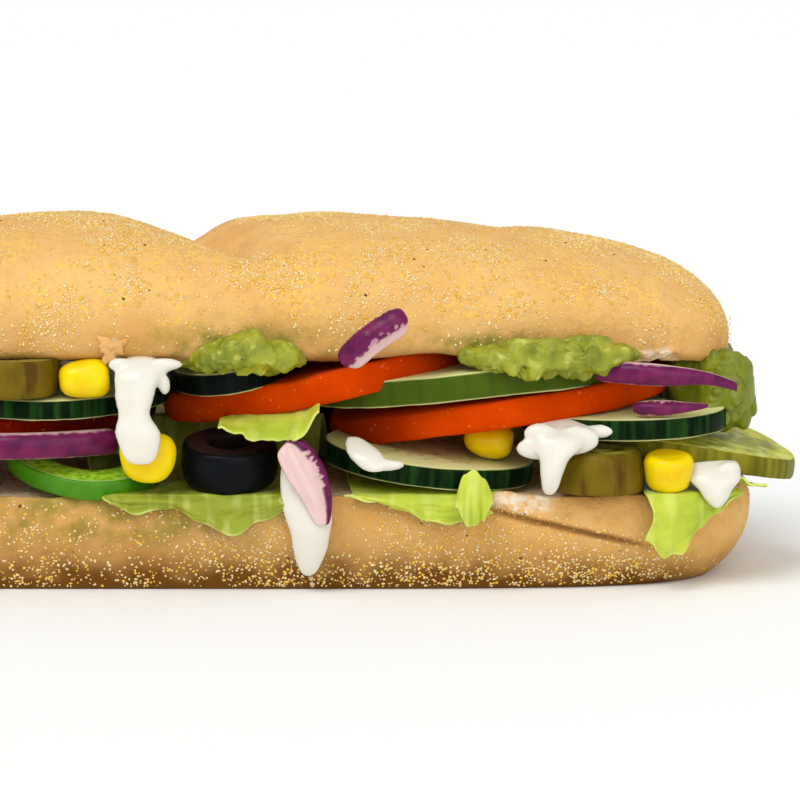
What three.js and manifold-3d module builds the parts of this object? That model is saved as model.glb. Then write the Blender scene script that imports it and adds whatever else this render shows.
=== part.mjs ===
// A submarine sandwich: an oblong roll, split into two halves, filled with tomato, cucumber, onion, olives,
// sweetcorn, pepper, pickle, lettuce, mashed avocado and white sauce.
// Millimetres, +Z up, +X along the roll. The side that people see first faces -Y, and the roll stands on z = 0.
import * as THREE from "three";
import { mergeVertices } from "three/addons/utils/BufferGeometryUtils.js";
import { ImprovedNoise } from "three/addons/math/ImprovedNoise.js";
import Module from "manifold-3d";

// Driving dimensions of the roll
const ROLL_WIDTH = 82;
const ROLL_TOP = 73; // height of the highest hump
const CROWN_LENGTH = 218; // top half
const CROWN_WIDEST_Z = 52; // where the top half is widest
const CROWN_END_DIP = 4.5; // how much lower it is widest at its ends
const CROWN_RIM_Z = 44.8; // lowest line of its rim, which hangs over the filling
const CROWN_HOLLOW = 5; // how far its cut face lies above that line
const HEEL_LENGTH = 227; // bottom half
const HEEL_WIDEST_Z = 15;
const HEEL_CUT_Z = 19.2; // its cut face
const HEEL_BASE_INSET = { ends: 8.5, sides: 3.5 }; // how far its base lies inside its widest line
const SLASH_SPACING = 66; // distance between the slashes over the top

// Driving dimensions of the filling
const TOMATO_THICK = 6;
const CUCUMBER_THICK = 4.4;
const PICKLE_THICK = 4.4;
const OLIVE_HEIGHT = 8.8;
const OLIVE_HOLE = 4.2; // radius
const LEAF_THICK = 0.9;
const LEAF_BED_Z = 20; // how high leaves lie on the bottom half
const LEAF_HANG_Y = 42.9; // how far from the middle they hang down
const KERNEL = { long: 10.4, wide: 9.2, thick: 8 };
const GAP = 0.3; // clearance that touching pieces keep

const wasm = await Module();
wasm.setup();
const noise = new ImprovedNoise();
const radians = THREE.MathUtils.degToRad;

// Smooth lumps of the given size in millimetres, from about -1 to 1
function lumps(point, size, seed = 0) {
  return 1.4 * noise.noise(point.x / size + seed, point.y / size + 3.1 * seed, point.z / size - seed);
}

function bell(distance, width) {
  return Math.exp(-((distance / width) ** 2));
}

// Raises a signed number to a power and keeps its sign, which makes a circle square-shouldered
function power(value, exponent) {
  return Math.sign(value) * Math.abs(value) ** exponent;
}

function smooth(value, from, to) {
  return THREE.MathUtils.smoothstep(value, from, to);
}

// Value at share (0 to 1) along a list of evenly spaced values
function along(values, share) {
  const place = THREE.MathUtils.clamp(share, 0, 1) * (values.length - 1);
  const first = Math.min(Math.floor(place), values.length - 2);
  const mix = smooth(place - first, 0, 1);
  return values[first] * (1 - mix) + values[first + 1] * mix;
}

// A copy with shared vertices, each moved by the given function
function shaped(geometry, move = () => {}) {
  const bare = geometry.clone();
  bare.deleteAttribute("normal");
  bare.deleteAttribute("uv");
  const merged = mergeVertices(bare, 1e-4);
  const places = merged.attributes.position;
  const point = new THREE.Vector3();
  for (let i = 0; i < places.count; i++) {
    point.fromBufferAttribute(places, i);
    move(point);
    places.setXYZ(i, point.x, point.y, point.z);
  }
  return merged;
}

// The same form with its skin pushed out, which cuts the room that a piece needs in its softer neighbours
function grown(geometry, distance) {
  const copy = geometry.clone();
  copy.computeVertexNormals();
  const places = copy.attributes.position;
  const outward = copy.attributes.normal;
  for (let i = 0; i < places.count; i++)
    places.setXYZ(
      i,
      places.getX(i) + distance * outward.getX(i),
      places.getY(i) + distance * outward.getY(i),
      places.getZ(i) + distance * outward.getZ(i),
    );
  return copy;
}

function solidOf(geometry) {
  const triVerts = new Uint32Array(geometry.index.array);
  const vertProperties = new Float32Array(geometry.attributes.position.array);
  const solid = new wasm.Manifold(new wasm.Mesh({ numProp: 3, vertProperties, triVerts }));
  if (solid.volume() > 0) return solid;
  for (let i = 0; i < triVerts.length; i += 3)
    [triVerts[i + 1], triVerts[i + 2]] = [triVerts[i + 2], triVerts[i + 1]];
  return new wasm.Manifold(new wasm.Mesh({ numProp: 3, vertProperties, triVerts }));
}

function geometryOf(solid) {
  const made = solid.getMesh();
  return new THREE.BufferGeometry()
    .setAttribute("position", new THREE.BufferAttribute(new Float32Array(made.vertProperties), 3))
    .setIndex(new THREE.BufferAttribute(new Uint32Array(made.triVerts), 1));
}

function largest(solid) {
  return solid.decompose().reduce((best, part) => (part.volume() > best.volume() ? part : best));
}

// Lays a piece that was made flat round the origin. rise lifts its +X side, lean dips the side nearest -Y and
// turn spins it, all in degrees.
function laid(geometry, { x, y, z, rise = 0, lean = 0, turn = 0 }) {
  return geometry.rotateZ(radians(turn)).rotateX(radians(lean)).rotateY(-radians(rise)).translate(x, y, z);
}

// Curves a laid piece down along X, further the more it lies from middle, on the sides that are given
function bowed(geometry, middle, rate, sides = [-1, 1]) {
  return shaped(geometry, (p) => {
    if (sides.includes(Math.sign(p.x - middle))) p.z -= rate * (p.x - middle) ** 2;
  });
}

// Sandwich, built from the firmest piece to the softest: each piece makes room for those before it
const sandwich = new THREE.Group();
const room = [];

function group(name) {
  const made = new THREE.Group();
  made.name = name;
  sandwich.add(made);
  return made;
}

function apart(a, b) {
  return [0, 1, 2].some((axis) => a.min[axis] > b.max[axis] || b.min[axis] > a.max[axis]);
}

function put(parent, name, geometry, material) {
  const whole = geometryOf(solidOf(shaped(geometry)));
  let solid = solidOf(whole);
  for (const other of room) if (!apart(solid.boundingBox(), other.boundingBox())) solid = solid.subtract(other);
  room.push(solidOf(grown(whole, GAP)));
  const left = geometryOf(largest(solid));
  left.computeBoundingBox();
  const place = left.boundingBox.getCenter(new THREE.Vector3());
  const mesh = new THREE.Mesh(left.translate(-place.x, -place.y, -place.z), material);
  mesh.name = name;
  mesh.position.copy(place);
  parent.add(mesh);
}

// Materials
function finish(color, roughness) {
  return new THREE.MeshStandardMaterial({ color, roughness, metalness: 0 });
}
const CRUST = finish(0xe8b96c, 0.75);
const TOMATO = finish(0xd0420a, 0.3);
const CUCUMBER = finish(0x4f6a26, 0.4);
const PEPPER = finish(0x568a14, 0.3);
const PICKLE = finish(0x9c9a3c, 0.35);
const RED_ONION = finish(0x7a2a62, 0.35);
const BLACK_OLIVE = finish(0x14171b, 0.35);
const GREEN_OLIVE = finish(0x6d5a16, 0.4);
const SWEETCORN = finish(0xefc90c, 0.3);
const AVOCADO = finish(0x97a638, 0.45);
const SAUCE = finish(0xf6f4ea, 0.2);
const LETTUCE = finish(0xb5c94e, 0.45);

// A slice of a round vegetable, lying flat: acrossX and acrossY are its diameters, edge is how round its rim is
function roundSlice({ acrossX, acrossY, thick, edge, segments = 20, unevenness = 0.012, seed = 1 }) {
  const half = thick / 2;
  const rim = edge / (acrossX / 2);
  const profile = [
    new THREE.Vector2(0, -half),
    new THREE.Vector2(1 - rim, -half),
    new THREE.Vector2(1, -0.4 * half),
    new THREE.Vector2(1, 0.4 * half),
    new THREE.Vector2(1 - rim, half),
    new THREE.Vector2(0, half),
  ];
  return shaped(new THREE.LatheGeometry(profile, segments).rotateX(Math.PI / 2), (p) => {
    const angle = Math.atan2(p.y, p.x);
    const uneven = 1 + unevenness * (Math.sin(2 * angle + seed) + 0.6 * Math.sin(5 * angle + 2 * seed));
    p.x *= (acrossX / 2) * uneven;
    p.y *= (acrossY / 2) * uneven;
  });
}

function tomatoSlice(acrossX, acrossY, seed, thick = TOMATO_THICK) {
  return roundSlice({ acrossX, acrossY, thick, edge: 1.1, segments: 24, seed });
}

function cucumberSlice(acrossX, acrossY, seed, thick = CUCUMBER_THICK) {
  return roundSlice({ acrossX, acrossY, thick, edge: 0.5, seed });
}

function pickleSlice(acrossX, acrossY) {
  return roundSlice({ acrossX, acrossY, thick: PICKLE_THICK, edge: 0.6 });
}

// A ring with a barrel-shaped outside: a pitted olive, or a slice of pepper with its hollow
function barrelRing({ radius, hole, tall, segments, shoulder = 0.88 }) {
  const half = tall / 2;
  const profile = [
    new THREE.Vector2(hole, -half),
    new THREE.Vector2(radius * shoulder, -half),
    new THREE.Vector2(radius, -0.45 * half),
    new THREE.Vector2(radius, 0.45 * half),
    new THREE.Vector2(radius * (0.6 + 0.4 * shoulder), half),
    new THREE.Vector2(hole, half),
    new THREE.Vector2(hole, -half),
  ];
  return shaped(new THREE.LatheGeometry(profile, segments).rotateX(Math.PI / 2));
}

function olive(radius, tall = OLIVE_HEIGHT) {
  return barrelRing({ radius, hole: OLIVE_HOLE, tall, segments: 14 });
}

function pepperRing(across, tall) {
  const flesh = 7;
  const radius = across / 2;
  const ring = barrelRing({ radius, hole: radius - flesh, tall, segments: 20, shoulder: 0.985 });
  return shaped(ring, (p) => {
    const lobes = 1 + 0.04 * Math.sin(3 * Math.atan2(p.y, p.x));
    p.x *= lobes;
    p.y *= lobes;
  });
}

// Part of one onion layer: an arc round the origin whose middle is nearest -Y, with its skin side outwards
function onionStrip({ radius, wall, tall, sweep, bulge = 0.8 }) {
  const half = radians(sweep) / 2;
  const outline = new THREE.Shape();
  outline.absarc(0, 0, radius, -Math.PI / 2 - half, -Math.PI / 2 + half, false);
  outline.absarc(0, 0, radius - wall, -Math.PI / 2 + half, -Math.PI / 2 - half, true);
  const settings = { depth: tall, steps: 2, bevelEnabled: false, curveSegments: 4 };
  const strip = new THREE.ExtrudeGeometry(outline, settings);
  return shaped(strip.translate(0, 0, -tall / 2), (p) => {
    const out = 1 + (bulge / radius) * (1 - (p.z / (tall / 2)) ** 2);
    p.x *= out;
    p.y *= out;
  });
}

// A kernel of sweetcorn, with its crown towards +X and its narrow tip towards -X
function kernel({ long, wide, thick } = KERNEL) {
  return shaped(new THREE.SphereGeometry(1, 9, 6).rotateZ(Math.PI / 2), (p) => {
    const length = power(p.x, 0.75);
    const taper = 1 - 0.16 * smooth(-length, -0.6, 1);
    p.set(
      (length * long) / 2,
      (power(p.y, 0.66) * taper * wide) / 2,
      (power(p.z, 0.66) * taper * thick) / 2,
    );
  });
}

// Thick sauce that has run down a path: widths spread it along X, depths away from what it clings to
function run({ path, widths, depths }) {
  const spine = new THREE.CatmullRomCurve3(path.map((p) => new THREE.Vector3(...p)));
  return shaped(new THREE.SphereGeometry(1, 10, 9), (p) => {
    const share = (1 - p.y) / 2;
    const centre = spine.getPoint(share);
    const ring = Math.hypot(p.x, p.z) || 1;
    const full = power(Math.sqrt(Math.max(0, 1 - p.y * p.y)), 0.7);
    p.set(
      centre.x + ((p.x / ring) * full * along(widths, share)) / 2,
      centre.y + ((p.z / ring) * full * along(depths, share)) / 2,
      centre.z,
    );
  });
}

// Mashed avocado, spread from one long side of the roll to the other. front and back say where it wells out.
function mash({ x, z, inside, front, back, seed, reach = 45.5 }) {
  return shaped(new THREE.SphereGeometry(1, 9, 10), (p) => {
    const out = p.y;
    const end = out < 0 ? front : back;
    const welled = smooth(Math.abs(out), 0.58, 0.8);
    const ring = Math.hypot(p.x, p.z) || 1;
    const full = power(Math.sqrt(Math.max(0, 1 - out ** 2)), 0.5);
    const halfX = (inside.wide + (end.wide - inside.wide) * welled) / 2;
    const halfZ = (inside.tall + (end.tall - inside.tall) * welled) / 2;
    p.set(
      x + (end.x - x) * welled + power(p.x / ring, 0.75) * full * halfX,
      power(out, 0.75) * reach,
      z + (end.z - z) * welled + power(p.z / ring, 0.75) * full * halfZ,
    );
    const lump = lumps(p, 7, seed) * welled;
    p.z += lump;
    p.y += lump * Math.sign(out);
  });
}

// Gives a grid of points a thickness. Both faces are split into the same triangles, so they never cross.
function thickened(grid, sheet) {
  const flat = new THREE.BufferGeometry().setFromPoints(sheet).setIndex(grid.index);
  flat.computeVertexNormals();
  const count = sheet.length;
  const points = [LEAF_THICK / 2, -LEAF_THICK / 2].flatMap((offset) =>
    sheet.map((p, i) =>
      p.clone().addScaledVector(new THREE.Vector3().fromBufferAttribute(flat.attributes.normal, i), offset),
    ),
  );
  const faces = [];
  const index = grid.index.array;
  const edges = new Map();
  for (let i = 0; i < index.length; i += 3) {
    const corners = [index[i], index[i + 1], index[i + 2]];
    faces.push(...corners, corners[0] + count, corners[2] + count, corners[1] + count);
    corners.forEach((corner, k) => {
      const next = corners[(k + 1) % 3];
      edges.set(`${corner},${next}`, [corner, next]);
    });
  }
  for (const [a, b] of edges.values())
    if (!edges.has(`${b},${a}`)) faces.push(b, a, a + count, b, a + count, b + count);
  return new THREE.BufferGeometry().setFromPoints(points).setIndex(faces);
}

// A lettuce leaf: a thin wavy sheet across the roll that hangs down over its sides, between from and to at the
// front and between backFrom and backTo at the back. front and back are the heights of its hem at even steps
// from left to right. Inside the roll it rises in one fold.
function leaf({
  from,
  to,
  backFrom = from,
  backTo = to,
  front,
  back,
  fold = 0,
  foldY = 0,
  ruffle = 0.7,
  seed,
  cols = 7,
}) {
  const rows = 12;
  const hangRows = 3;
  const grid = shaped(new THREE.PlaneGeometry(1, 1, cols, rows));
  const places = grid.attributes.position;
  const sheet = [];
  for (let i = 0; i < places.count; i++) {
    const across = places.getX(i) + 0.5;
    const row = (0.5 - places.getY(i)) * rows;
    const near = Math.min(row, rows - row);
    const side = row < rows / 2 ? -1 : 1;
    const hem = along(side < 0 ? front : back, across);
    const small = 0.5 * Math.sin(25 * across - row + 2 * seed);
    const wave = ruffle * (Math.sin(11 * across + 1.3 * row + seed) + small);
    const behind = smooth(row / rows, 0.25, 0.6);
    const left = from + (backFrom - from) * behind;
    const right = to + (backTo - to) * behind;
    const x = left + (right - left) * across + 0.8 * Math.sin(1.7 * row + seed);
    if (near <= hangRows) {
      const drop = 1 - near / hangRows;
      const outward = LEAF_HANG_Y + ruffle + wave * (0.4 + drop) + (near === hangRows ? -0.8 - ruffle : 0);
      sheet.push(new THREE.Vector3(x, side * outward, LEAF_BED_Z + (hem - LEAF_BED_Z) * drop));
    } else {
      const inner = ((row - hangRows - 1) / (rows - 2 * hangRows - 2)) * 2 - 1;
      const y = inner * (LEAF_HANG_Y - 7);
      const raised = fold * bell(y - foldY, 5.5);
      sheet.push(new THREE.Vector3(x, y, LEAF_BED_Z + raised));
    }
  }
  return thickened(grid, sheet);
}

// A small ruffled end of a leaf whose hem juts out at y. It rises inwards, droops at its left end and turns up
// at its right end by the given heights.
function frill({ from, to, y, z, inward, rise, droop, upturn, ruffle }) {
  const grid = shaped(new THREE.PlaneGeometry(1, 1, 9, 3));
  const places = grid.attributes.position;
  const sheet = Array.from({ length: places.count }, (_, i) => {
    const across = places.getX(i) + 0.5;
    const inside = places.getY(i) + 0.5;
    const hem = 1 - inside;
    const wave = ruffle * hem * (Math.sin(14 * across) + 0.4 * Math.sin(31 * across));
    const height = rise * inside - droop * hem ** 2 * (1 - across) + upturn * across ** 3;
    return new THREE.Vector3(from + (to - from) * across, y + inward * inside + wave, z + height + 0.8 * wave);
  });
  return thickened(grid, sheet);
}

// How full the roll is at a share of its half length: 1 in the middle, 0 at its very end
function fullness(share, bluntness) {
  return Math.max(0, 1 - Math.abs(share) ** bluntness) ** (1 / bluntness);
}

// Slashes over the top, between the roll's humps. On the near side they run slantwise.
const SLASHES = [
  { x: -2.5, deep: 5.4 },
  { x: -2.5 + SLASH_SPACING, deep: 1.4 },
  { x: -2.5 - SLASH_SPACING, deep: 3.4 },
];

function slashDepth(x, y) {
  const slant = radians(60);
  const fade = 1 - smooth(Math.abs(y), 16, 36);
  return SLASHES.reduce((sum, slash) => {
    const across = (x - slash.x) * Math.sin(slant) + Math.min(y, 0) * Math.cos(slant);
    return sum + slash.deep * fade * bell(across, across < 0 ? 9 : 8);
  }, 0);
}

// The rim is lifted where the middle tomato slice comes out under it
const RIM_LIFT = { x: 46, high: 2.4, wide: 10 };

// A ball with its poles at the roll's two ends, drawn out and flattened from below
function crown() {
  const dome = ROLL_TOP - CROWN_WIDEST_Z;
  const around = 20;
  const rings = 30;
  return shaped(new THREE.SphereGeometry(1, around, rings).rotateZ(Math.PI / 2), (p) => {
    const even = Math.asin(THREE.MathUtils.clamp(p.x, -1, 1)) / (Math.PI / 2);
    const share = (even + p.x) / 2;
    const full = fullness(share, 3.3);
    const ring = Math.hypot(p.y, p.z) || 1;
    const side = p.y / ring;
    const up = p.z / ring;
    const x = (share * CROWN_LENGTH) / 2;
    const y = (power(side, 0.82) * full * ROLL_WIDTH) / 2;
    const lift = y < 0 ? RIM_LIFT.high * bell(x - RIM_LIFT.x, RIM_LIFT.wide) : 0;
    const rim = CROWN_WIDEST_Z - CROWN_RIM_Z - lift - CROWN_HOLLOW * (1 - smooth(Math.abs(side), 0.72, 0.88));
    const height =
      up > 0 ? power(up, 0.9) * dome * full ** 1.6 : power(up, 0.35) * rim * Math.min(1, 2 * full);
    p.set(x, y, CROWN_WIDEST_Z - CROWN_END_DIP * (1 - full) + height);
    if (up > 0) p.z -= up * slashDepth(x, y) * full;
    const swell = 0.9 * lumps(p, 34, 2) * full;
    if (up > -0.2) p.y += swell * side;
    if (up > 0.1) p.z += swell * up;
  });
}

// Upright slab with rounded ends, whose sides draw in towards its base and a little towards its cut face
function heel() {
  const corners = 48;
  const outline = new THREE.Shape(
    Array.from({ length: corners }, (_, i) => {
      const angle = (i / corners) * 2 * Math.PI;
      return new THREE.Vector2(Math.cos(angle), Math.sign(Math.sin(angle)) * fullness(Math.cos(angle), 4.6));
    }),
  );
  const slab = new THREE.ExtrudeGeometry(outline, { depth: 1, steps: 6, bevelEnabled: false });
  return shaped(slab, (p) => {
    const z = HEEL_CUT_Z * p.z ** 1.4;
    const below = Math.max(0, 1 - z / HEEL_WIDEST_Z) ** 2.4;
    const above = Math.max(0, (z - HEEL_WIDEST_Z) / (HEEL_CUT_Z - HEEL_WIDEST_Z)) ** 2;
    p.set(
      p.x * (HEEL_LENGTH / 2 - HEEL_BASE_INSET.ends * below - 1.5 * above),
      p.y * (ROLL_WIDTH / 2 + 0.5 - HEEL_BASE_INSET.sides * below - 1.2 * above),
      z,
    );
    p.y *= 1 + 0.012 * lumps(p, 30, 5);
  });
}

// Small firm pieces
const bits = group("bits");
put(bits, "black_olive", laid(olive(9.9), { x: 5.5, y: -34.5, z: 25.7, lean: 11 }), BLACK_OLIVE);
put(bits, "green_olive_near", laid(olive(8.9, 8.6), { x: 80.6, y: -36, z: 24.4, lean: 1 }), GREEN_OLIVE);
put(bits, "green_olive_upper", laid(olive(9.3, 7.8), { x: -37.5, y: -36, z: 43.4 }), GREEN_OLIVE);
put(bits, "green_olive_left", laid(olive(8.8), { x: -99, y: -19, z: 25.4, lean: 2 }), GREEN_OLIVE);
put(bits, "black_olive_back", laid(olive(9.6), { x: 20, y: 34, z: 25.6, lean: -2 }), BLACK_OLIVE);
put(bits, "corn_upper", laid(kernel(), { x: -23.2, y: -39.4, z: 43.3, rise: 4, turn: 10 }), SWEETCORN);
put(
  bits,
  "corn_under_sauce",
  laid(kernel({ long: 11.8, wide: 7.4, thick: 9.6 }), { x: -10.7, y: -42.6, z: 27.4, rise: -6 }),
  SWEETCORN,
);
put(bits, "corn_middle", laid(kernel(), { x: 58.3, y: -30, z: 29.4, rise: -6, turn: -8 }), SWEETCORN);
put(bits, "corn_right", laid(kernel(), { x: 94.2, y: -38.4, z: 24.3, rise: -4, turn: 176 }), SWEETCORN);
put(bits, "corn_left", laid(kernel(), { x: -67.4, y: -39.4, z: 32.6, rise: 8, turn: 20 }), SWEETCORN);
put(bits, "corn_back_right", laid(kernel(), { x: 48, y: 38, z: 26, rise: -10, turn: 160 }), SWEETCORN);
put(bits, "corn_back_left", laid(kernel(), { x: -42, y: 39, z: 42.8, rise: 6, turn: -20 }), SWEETCORN);

// Slices, most of them from one side of the sandwich to the other
const slices = group("slices");
const through = 84;
put(
  slices,
  "tomato_middle",
  bowed(laid(tomatoSlice(72, through, 1), { x: 25, y: 0, z: 41.3, rise: 12.3 }), 40, 0.007, [1]),
  TOMATO,
);
put(
  slices,
  "tomato_right",
  bowed(laid(tomatoSlice(72, through, 2, 6.4), { x: 61.5, y: 0, z: 36.2, rise: 6 }), 62, 0.003, [-1]),
  TOMATO,
);
put(
  slices,
  "tomato_left",
  laid(tomatoSlice(66, through - 4, 3, 4.4), { x: -45, y: 0, z: 32.8, rise: -1 }),
  TOMATO,
);
put(
  slices,
  "tomato_end",
  laid(tomatoSlice(48, through - 8, 4, 5), { x: -79, y: 0, z: 41.8, rise: -5 }),
  TOMATO,
);
put(
  slices,
  "cucumber_long",
  bowed(laid(cucumberSlice(68, through + 1, 1), { x: 54, y: 0, z: 41.8, rise: 6.6 }), 60, 0.003),
  CUCUMBER,
);
put(
  slices,
  "cucumber_low",
  laid(cucumberSlice(43, 44, 2, 4.4), { x: 46, y: -22, z: 24.6, rise: -6, lean: 2 }),
  CUCUMBER,
);
put(
  slices,
  "cucumber_right",
  laid(cucumberSlice(43, 44, 3), { x: 86.2, y: -20.8, z: 33.2, rise: 1 }),
  CUCUMBER,
);
put(slices, "cucumber_upper", laid(cucumberSlice(54, through, 4, 4), { x: -33, y: 0, z: 37.2 }), CUCUMBER);
put(
  slices,
  "cucumber_shaded",
  laid(cucumberSlice(31, through - 1, 5, 3.8), { x: 6.5, y: 0, z: 42.4, rise: 12.3 }),
  CUCUMBER,
);
put(
  slices,
  "cucumber_left",
  laid(cucumberSlice(38, through, 6), { x: -70.5, y: 0, z: 25.8, rise: 1 }),
  CUCUMBER,
);
put(
  slices,
  "cucumber_back",
  laid(cucumberSlice(44, 40, 7), { x: -20, y: 23.5, z: 25.8, lean: -5, rise: 1 }),
  CUCUMBER,
);
put(
  slices,
  "pepper_near",
  laid(pepperRing(33, 4.2), { x: -23.8, y: -26.5, z: 24.7, lean: 13, rise: -4, turn: 20 }),
  PEPPER,
);
put(
  slices,
  "pepper_back",
  laid(pepperRing(34, 4.6), { x: 80, y: 24, z: 25.2, lean: -6, rise: 1, turn: 50 }),
  PEPPER,
);
put(
  slices,
  "pickle_right",
  bowed(laid(pickleSlice(43, 40), { x: 100.3, y: -17, z: 27.9, rise: -5, lean: 3 }), 96, 0.006, [1]),
  PICKLE,
);
put(
  slices,
  "pickle_left",
  laid(pickleSlice(48, 40), { x: -92, y: 16, z: 34.6, rise: 8 }),
  PICKLE,
);

// Red onion
const onions = group("onions");
put(
  onions,
  "onion_long",
  laid(onionStrip({ radius: 40, wall: 3.6, tall: 5.2, sweep: 67 }), { x: -39, y: -3.7, z: 29.9, rise: 0.5 }),
  RED_ONION,
);
put(
  onions,
  "onion_hanging",
  onionStrip({ radius: 29, wall: 6.6, tall: 3.2, sweep: 42, bulge: 0 })
    .rotateX(Math.PI / 2)
    .rotateY(-radians(115))
    .translate(-0.6, -46, 12.8),
  RED_ONION,
);
put(
  onions,
  "onion_tucked",
  onionStrip({ radius: 21, wall: 6, tall: 4.4, sweep: 46 })
    .rotateX(radians(68))
    .rotateY(radians(143))
    .translate(44.4, -41, 38.2),
  RED_ONION,
);
put(
  onions,
  "onion_right",
  laid(onionStrip({ radius: 34, wall: 3.2, tall: 4, sweep: 39 }), { x: 97, y: -8.6, z: 43.9, rise: -4 }),
  RED_ONION,
);
put(
  onions,
  "onion_scrap",
  laid(onionStrip({ radius: 20, wall: 3, tall: 3, sweep: 46 }), { x: 94.4, y: -21.5, z: 37.5, rise: 2 }),
  RED_ONION,
);
put(
  onions,
  "onion_left",
  laid(onionStrip({ radius: 30, wall: 3.4, tall: 4.4, sweep: 66 }), { x: -82, y: -9.5, z: 35.4, rise: 1 }),
  RED_ONION,
);
put(
  onions,
  "onion_back_right",
  laid(onionStrip({ radius: 38, wall: 3.4, tall: 4.6, sweep: 60 }), { x: 46, y: 3, z: 31, turn: 180, rise: 4 }),
  RED_ONION,
);
put(
  onions,
  "onion_back_left",
  laid(onionStrip({ radius: 34, wall: 3.4, tall: 4.6, sweep: 60 }), { x: -66, y: 6, z: 34.4, turn: 180 }),
  RED_ONION,
);

// Mashed avocado
const spreads = group("spreads");
put(
  spreads,
  "avocado_middle",
  mash({
    x: -8,
    z: 46.8,
    inside: { wide: 34, tall: 3.4 },
    front: { x: 9.4, z: 46.9, wide: 31, tall: 13 },
    back: { x: -12, z: 46.4, wide: 28, tall: 9 },
    seed: 1,
  }),
  AVOCADO,
);
put(
  spreads,
  "avocado_right",
  mash({
    x: 76,
    z: 47.2,
    inside: { wide: 30, tall: 2.2 },
    front: { x: 69, z: 47.6, wide: 45, tall: 9.4 },
    back: { x: 66, z: 47.6, wide: 34, tall: 8 },
    seed: 2,
  }),
  AVOCADO,
);
put(
  spreads,
  "avocado_end",
  mash({
    x: 103,
    z: 40,
    inside: { wide: 16, tall: 14 },
    front: { x: 107, z: 38.6, wide: 16, tall: 21 },
    back: { x: 102, z: 42, wide: 14, tall: 10 },
    seed: 3,
    reach: 27,
  }),
  AVOCADO,
);
put(
  spreads,
  "avocado_left",
  mash({
    x: -74,
    z: 47.4,
    inside: { wide: 30, tall: 3 },
    front: { x: -72, z: 47.6, wide: 30, tall: 8.4 },
    back: { x: -80, z: 47.2, wide: 26, tall: 8 },
    seed: 4,
    reach: 44,
  }),
  AVOCADO,
);

// White sauce
const sauces = group("sauces");
put(
  sauces,
  "sauce_over_corn",
  run({
    path: [
      [-11.4, -38.5, 47.6],
      [-12, -44.4, 42.6],
      [-12.4, -45.4, 36.6],
      [-11.6, -47.4, 32],
      [-11.4, -47.8, 27.6],
    ],
    widths: [13, 12.6, 9, 6.6, 10, 9.6],
    depths: [9, 6.4, 5, 4.4, 4.4, 3.6],
  }),
  SAUCE,
);
put(
  sauces,
  "sauce_long_run",
  run({
    path: [
      [18.6, -41, 29],
      [20, -43.2, 20],
      [21, -43.4, 11.6],
      [21.2, -41.8, 3.6],
    ],
    widths: [7.4, 10, 9.6, 8.2, 6.6],
    depths: [4, 4, 4, 4.4, 4.4],
  }),
  SAUCE,
);
put(
  sauces,
  "sauce_small",
  run({
    path: [
      [30.4, -38, 31.4],
      [33, -42.4, 28.4],
      [35, -44.6, 25],
    ],
    widths: [6, 8.6, 7],
    depths: [4, 4.4, 3.6],
  }),
  SAUCE,
);
put(
  sauces,
  "sauce_middle",
  run({
    path: [
      [72.4, -37, 35.6],
      [71.8, -43.4, 31.8],
      [70.4, -46, 26],
      [70, -45.8, 20.4],
    ],
    widths: [11, 16, 13, 6, 4.6, 4.4],
    depths: [6, 7.4, 4.6, 4.4, 4],
  }),
  SAUCE,
);
put(
  sauces,
  "sauce_right",
  run({
    path: [
      [103, -32, 27.4],
      [103.4, -38.6, 23],
      [103.8, -40.4, 17],
    ],
    widths: [10, 12.6, 8],
    depths: [8, 7, 5],
  }),
  SAUCE,
);
put(
  sauces,
  "sauce_left",
  run({
    path: [
      [-78, -38.6, 33.6],
      [-77, -45, 29],
      [-76.4, -46.4, 21],
      [-76, -46, 13],
    ],
    widths: [12, 12, 7, 7.4, 6],
    depths: [6, 6, 4.4, 4.4, 4],
  }),
  SAUCE,
);
put(
  sauces,
  "sauce_back",
  run({
    path: [
      [-11, 38.6, 34],
      [-11.6, 45, 28],
      [-12, 46.4, 20],
      [-12.4, 46, 11],
    ],
    widths: [13, 13, 7, 7.6, 6],
    depths: [6, 6, 4.4, 4.4, 4],
  }),
  SAUCE,
);

// Lettuce
const leaves = group("leaves");
put(
  leaves,
  "lettuce_middle",
  leaf({
    from: -19,
    to: 17,
    front: [18.4, 16.4, 17.6, 15.2, 12, 14.4, 17.6],
    backFrom: -29,
    backTo: 27,
    back: [15, 11, 14, 9, 13, 16],
    fold: 9,
    foldY: -3,
    seed: 1,
  }),
  LETTUCE,
);
put(
  leaves,
  "lettuce_right_middle",
  leaf({
    from: 29.5,
    to: 58,
    front: [20, 18.6, 16.8, 14.6, 14.4, 16.4],
    backFrom: 29.5,
    backTo: 74,
    back: [14, 10, 12, 8, 11],
    fold: 8,
    foldY: 7,
    seed: 2,
  }),
  LETTUCE,
);
put(
  leaves,
  "lettuce_left",
  leaf({
    from: -86,
    to: -48,
    front: [14, 10, 13, 8, 11, 16],
    back: [12, 9, 13, 8, 12],
    seed: 4,
  }),
  LETTUCE,
);
const endLeaf = leaf({
  from: 90,
  to: 109,
  front: [11, 7.6, 8, 13, 15.6, 18.4],
  back: [16, 13, 15, 17],
  ruffle: 0.4,
  seed: 5,
  cols: 6,
});
put(
  leaves,
  "lettuce_end",
  shaped(endLeaf, (p) => {
    p.y *= 1 - 0.2 * smooth(p.x, 92, 110);
  }),
  LETTUCE,
);
put(
  leaves,
  "lettuce_curl",
  frill({ from: 4, to: 23.6, y: -46.5, z: 34, inward: 15, rise: 1.4, droop: 2.2, upturn: 3, ruffle: 1 }),
  LETTUCE,
);
put(
  leaves,
  "lettuce_tip",
  frill({ from: 99, to: 114.2, y: -38.4, z: 23.6, inward: 8.4, rise: -2, droop: 0, upturn: -2.4, ruffle: 0.5 }),
  LETTUCE,
);

// Bread
const bread = group("bread");
put(bread, "roll_top", crown(), CRUST);
put(bread, "roll_bottom", heel(), CRUST);

export default sandwich;
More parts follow.
